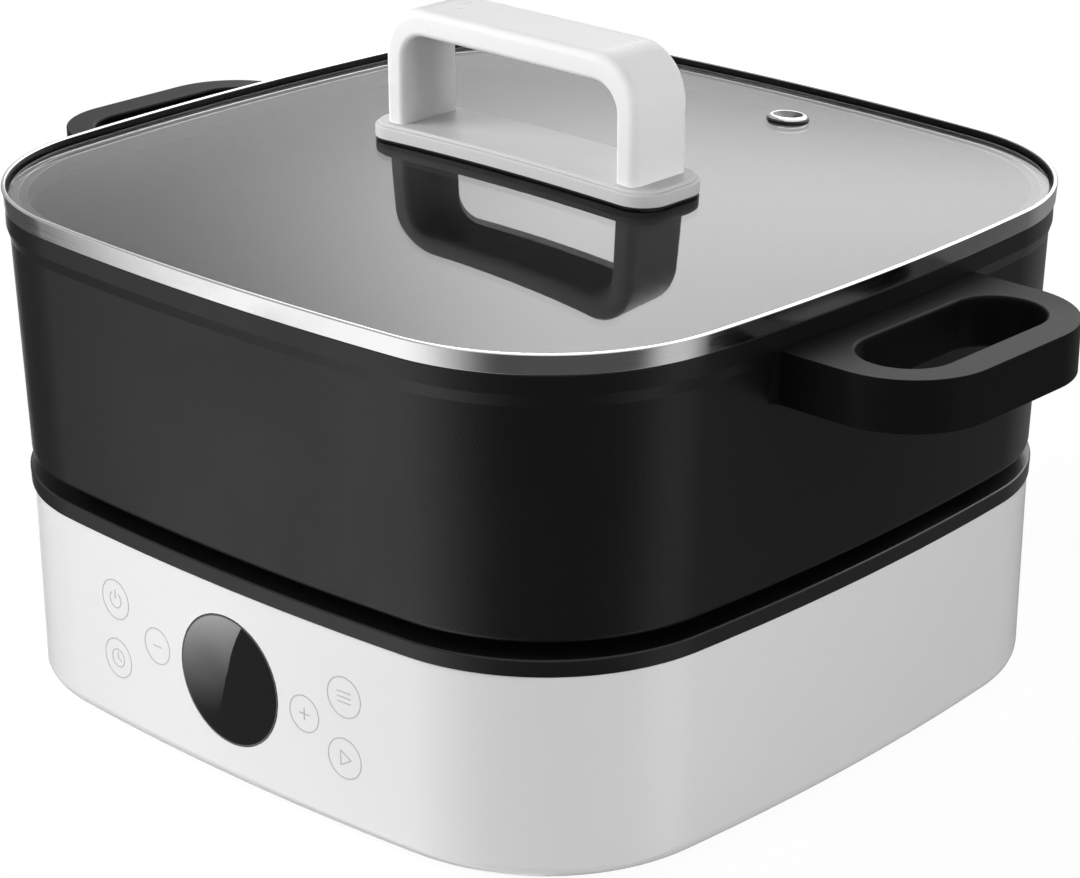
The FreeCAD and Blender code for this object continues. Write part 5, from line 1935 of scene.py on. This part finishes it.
@dataclass
class Surroundings:
    """White world whose darker and brighter sides only gloss shows.

    Attributes:
        ambient: Its brightness for matt surfaces.
        gloom: Brightness between the strip lights.
        strips: Soft strips that stand round the object: behind on the left, in front, on the
            right, and a faint one whose two halves meet behind.
        horizon: Height either side of level where the strips give way to the sky.
        plain: Brightness of the plain sky.
        side: Axis across the sky, and how far along it the bright field comes up.
        climb: Heights between which the bright field comes up.
        field: Axis of its brightest part.
        spread: Angles from that axis, in degrees, where the field starts to fade and ends.
        levels: Brightness of the field at those angles.
        card: Card that the display mirrors.
    """

    ambient: float = 0.21
    gloom: float = 0.1
    strips: tuple[StripLight, ...] = (
        StripLight((-140, -130), (-118, -110), 1.5),
        StripLight((-66, -50), (-35, 20), 1.3),
        StripLight((88, 107), (114, 136), 0.65),
        StripLight((148, 175), (200, 210), 0.2),
        StripLight((-210, -200), (-145, -135), 0.2),
    )
    horizon: float = 0.12
    plain: float = 0.58
    side: tuple[Corner, Point] = ((0.947, 0.321, 0), (-0.548, -0.345))
    climb: Point = (0.075, 0.475)
    field: Corner = (-0.42, 0.71, 0.565)
    spread: Point = (38, 60)
    levels: Point = (3.7, 0.6)
    card: Card = Card()

    def __post_init__(self) -> None:
        """Make the world, and take up its node tree and its direction of sight."""
        world = bpy.data.worlds.new("studio")
        bpy.context.scene.world = world
        world.use_nodes = True
        self.net = Wiring(world.node_tree)
        self.way = self.net.add("TexCoord", {}, "Generated")

    def build(self) -> None:
        """Join the world's parts."""
        background = self.net.tree.nodes["Background"]
        background.inputs["Color"].default_value = (1, 1, 1, 1)
        path = self.net.node("LightPath", {})
        rise = self._along(UP).span(-self.horizon, self.horizon)
        gloss = self._display(rise.mix(self._ring(), self._sky()))
        soft = Signal(self.net, path.outputs["Is Glossy Ray"]).mix(self.ambient, gloss)
        camera, through = (path.outputs[f"Is {kind} Ray"] for kind in ("Camera", "Transmission"))
        seen = soft.reckon("MAXIMUM", camera, through)
        self.net.feed(background.inputs["Strength"], seen.mix(soft, 1.0))

    def _along(self, axis: Corner | Vector) -> Signal:
        """How far a direction of sight reaches along an axis."""
        sockets = {0: self.way, 1: axis}
        reach = self.net.add("VectorMath", sockets, "Value", operation="DOT_PRODUCT")
        return Signal(self.net, reach)

    def _ring(self) -> Signal:
        """Brightness of the strip lights that stand round the object, by bearing.

        Returns:
            The brightness.
        """
        east = self._along((1, 0, 0))
        front = self._along((0, -1, 0))
        bearing = east.reckon("ARCTAN2", east, front) * (180 / math.pi)
        total: Signal | float = self.gloom
        for strip in self.strips:
            lit = bearing.span(*strip.rise) * (1.0 - bearing.span(*strip.fall)) * strip.level
            total = lit + total
        return total

    def _sky(self) -> Signal:
        """Brightness above the horizon: plain, with a bright field at the back.

        Returns:
            The brightness.
        """
        axis, places = self.side
        side = self._along(axis).span(*places)
        inner, outer = (math.cos(math.radians(angle)) for angle in self.spread)
        middle, rim = self.levels
        near = self._along(Vector(self.field).normalized()).span(outer, inner, rim, middle)
        return side * self._along(UP).span(*self.climb) * near + self.plain

    def _display(self, around: Signal) -> Signal:
        """Brightness with the display's card laid over the rest.

        Args:
            around: Brightness beside the card.

        Returns:
            The brightness.
        """
        card = self.card
        across, up, ahead = (self._along(axis) for axis in (card.across, card.up, card.ahead))
        rise = (up - across * card.slope + card.foot).share(card.height) ** card.curve
        slope, place = card.edge
        glow = rise * card.level * across.below(up * slope + place) + card.dark
        on_disc = (across * across + up * up).below(card.reach) * ahead.above(card.facing)
        return on_disc.mix(around, glow)


@dataclass
class Studio:
    """Pale floor, soft lamps and the camera.

    Attributes:
        eye: Place of the camera.
        target: Place that it looks at.
        roll: Its turn about its own axis in radians.
        lens: Focal length on a frame of the sensor's width.
        sensor: Width of the sensor in millimetres.
        shift: Share of the frame's width that the picture is shifted by.
        floor: Length of the floor's sides in metres.
        pale: Colour of the floor.
        glow: Strength of the floor's own light for the camera, and its share.
        aim: Place that the lamps shine on.
        lamps: Name, place, size in metres and power in watts of each lamp.
    """

    eye: Corner = (0.7206, -0.7739, 0.5024)
    target: Corner = (0.04597, 0.00425, 0.01612)
    roll: float = 0.0126
    lens: float = 108.8
    sensor: float = 36.0
    shift: Point = (-0.0922, 0.1919)
    floor: float = 12.0
    pale: Colour = (0.92, 0.92, 0.92)
    glow: Point = (1.05, 0.9)
    aim: Corner = (0, 0, 0.1)
    lamps: tuple[tuple[str, Corner, float, float], ...] = (
        ("left_softbox", (-1.6, -1.25, 1.0), 1.3, 37.5),
        ("low_softbox", (-0.75, -1.75, 0.25), 1.0, 16.0),
        ("right_softbox", (1.6, 0.0, 0.8), 0.8, 3.2),
        ("low_right_softbox", (1.6, 0.03, 0.2), 0.35, 8.8),
        ("back_softbox", (-0.6, 1.7, 1.0), 1.2, 3.0),
    )

    def build(self) -> None:
        """Set up the camera, the floor, the surroundings and the lamps."""
        self._camera()
        self._floor()
        Surroundings().build()
        for name, place, size, power in self.lamps:
            self._lamp(name, Vector(place), size, power)

    def _camera(self) -> None:
        """Camera at the viewing angle, with its small roll."""
        data = bpy.data.cameras.new("camera")
        data.lens = self.lens
        data.sensor_width = self.sensor
        data.sensor_fit = "HORIZONTAL"
        data.shift_x, data.shift_y = self.shift
        data.clip_start = 0.05
        camera = bpy.data.objects.new("camera", data)
        bpy.context.scene.collection.objects.link(camera)
        look = Vector(self.target) - Vector(self.eye)
        turn = look.to_track_quat("-Z", "Y").to_matrix().to_4x4()
        spin = Matrix.Rotation(self.roll, 4, "Z")
        camera.matrix_world = Matrix.Translation(self.eye) @ turn @ spin
        bpy.context.scene.camera = camera

    def _floor(self) -> None:
        """Wide pale floor that keeps a faint shadow."""
        Bench.clear()
        bpy.ops.mesh.primitive_plane_add(size=self.floor)
        floor = bpy.context.object
        floor.name = "studio_floor"
        strength, share = self.glow
        board = Board("pale_floor", Base_Color=(*self.pale, 1), Roughness=0.8,
                      Specular_IOR_Level=0.1)
        seen = Signal(board, board.add("LightPath", {}, "Is Camera Ray")) * share
        glow = board.add("Emission", {"Strength": strength})
        mix = board.add("MixShader", {"Fac": seen, 1: board.shader.outputs["BSDF"], 2: glow})
        board.feed(board.tree.nodes["Material Output"].inputs["Surface"], mix)
        floor.data.materials.append(board.material)
        floor.visible_glossy = False

    def _lamp(self, name: str, place: Vector, size: float, power: float) -> None:
        """Square soft lamp aimed at the middle of the object.

        Args:
            name: Its name.
            place: Its place.
            size: Length of its sides.
            power: Its power in watts.
        """
        data = bpy.data.lights.new(name, "AREA")
        data.size = size
        data.energy = power
        lamp = bpy.data.objects.new(name, data)
        lamp.visible_glossy = False
        lamp.visible_transmission = False
        lamp.location = place
        ray = Vector(self.aim) - place
        lamp.rotation_euler = ray.to_track_quat("-Z", "Y").to_euler()
        bpy.context.scene.collection.objects.link(lamp)


def main() -> None:
    """Build every sub-assembly in order, then the studio."""
    logging.basicConfig(level=logging.INFO, format="%(name)s: %(message)s")
    bpy.context.scene.view_settings.view_transform = "Standard"
    finishes = Finishes()
    makers = (
        InnerWorks(finishes), BaseHousing(finishes), TopDeck(finishes), FrontPanel(finishes),
        CookingPot(finishes), SideHandles(finishes), GlassLid(finishes), LidHandle(finishes),
        Studio(),
    )
    for maker in makers:
        maker.build()
        log.info("%s is done", type(maker).__name__)
    Bench.clear()


if __name__ == "__main__":
    main()
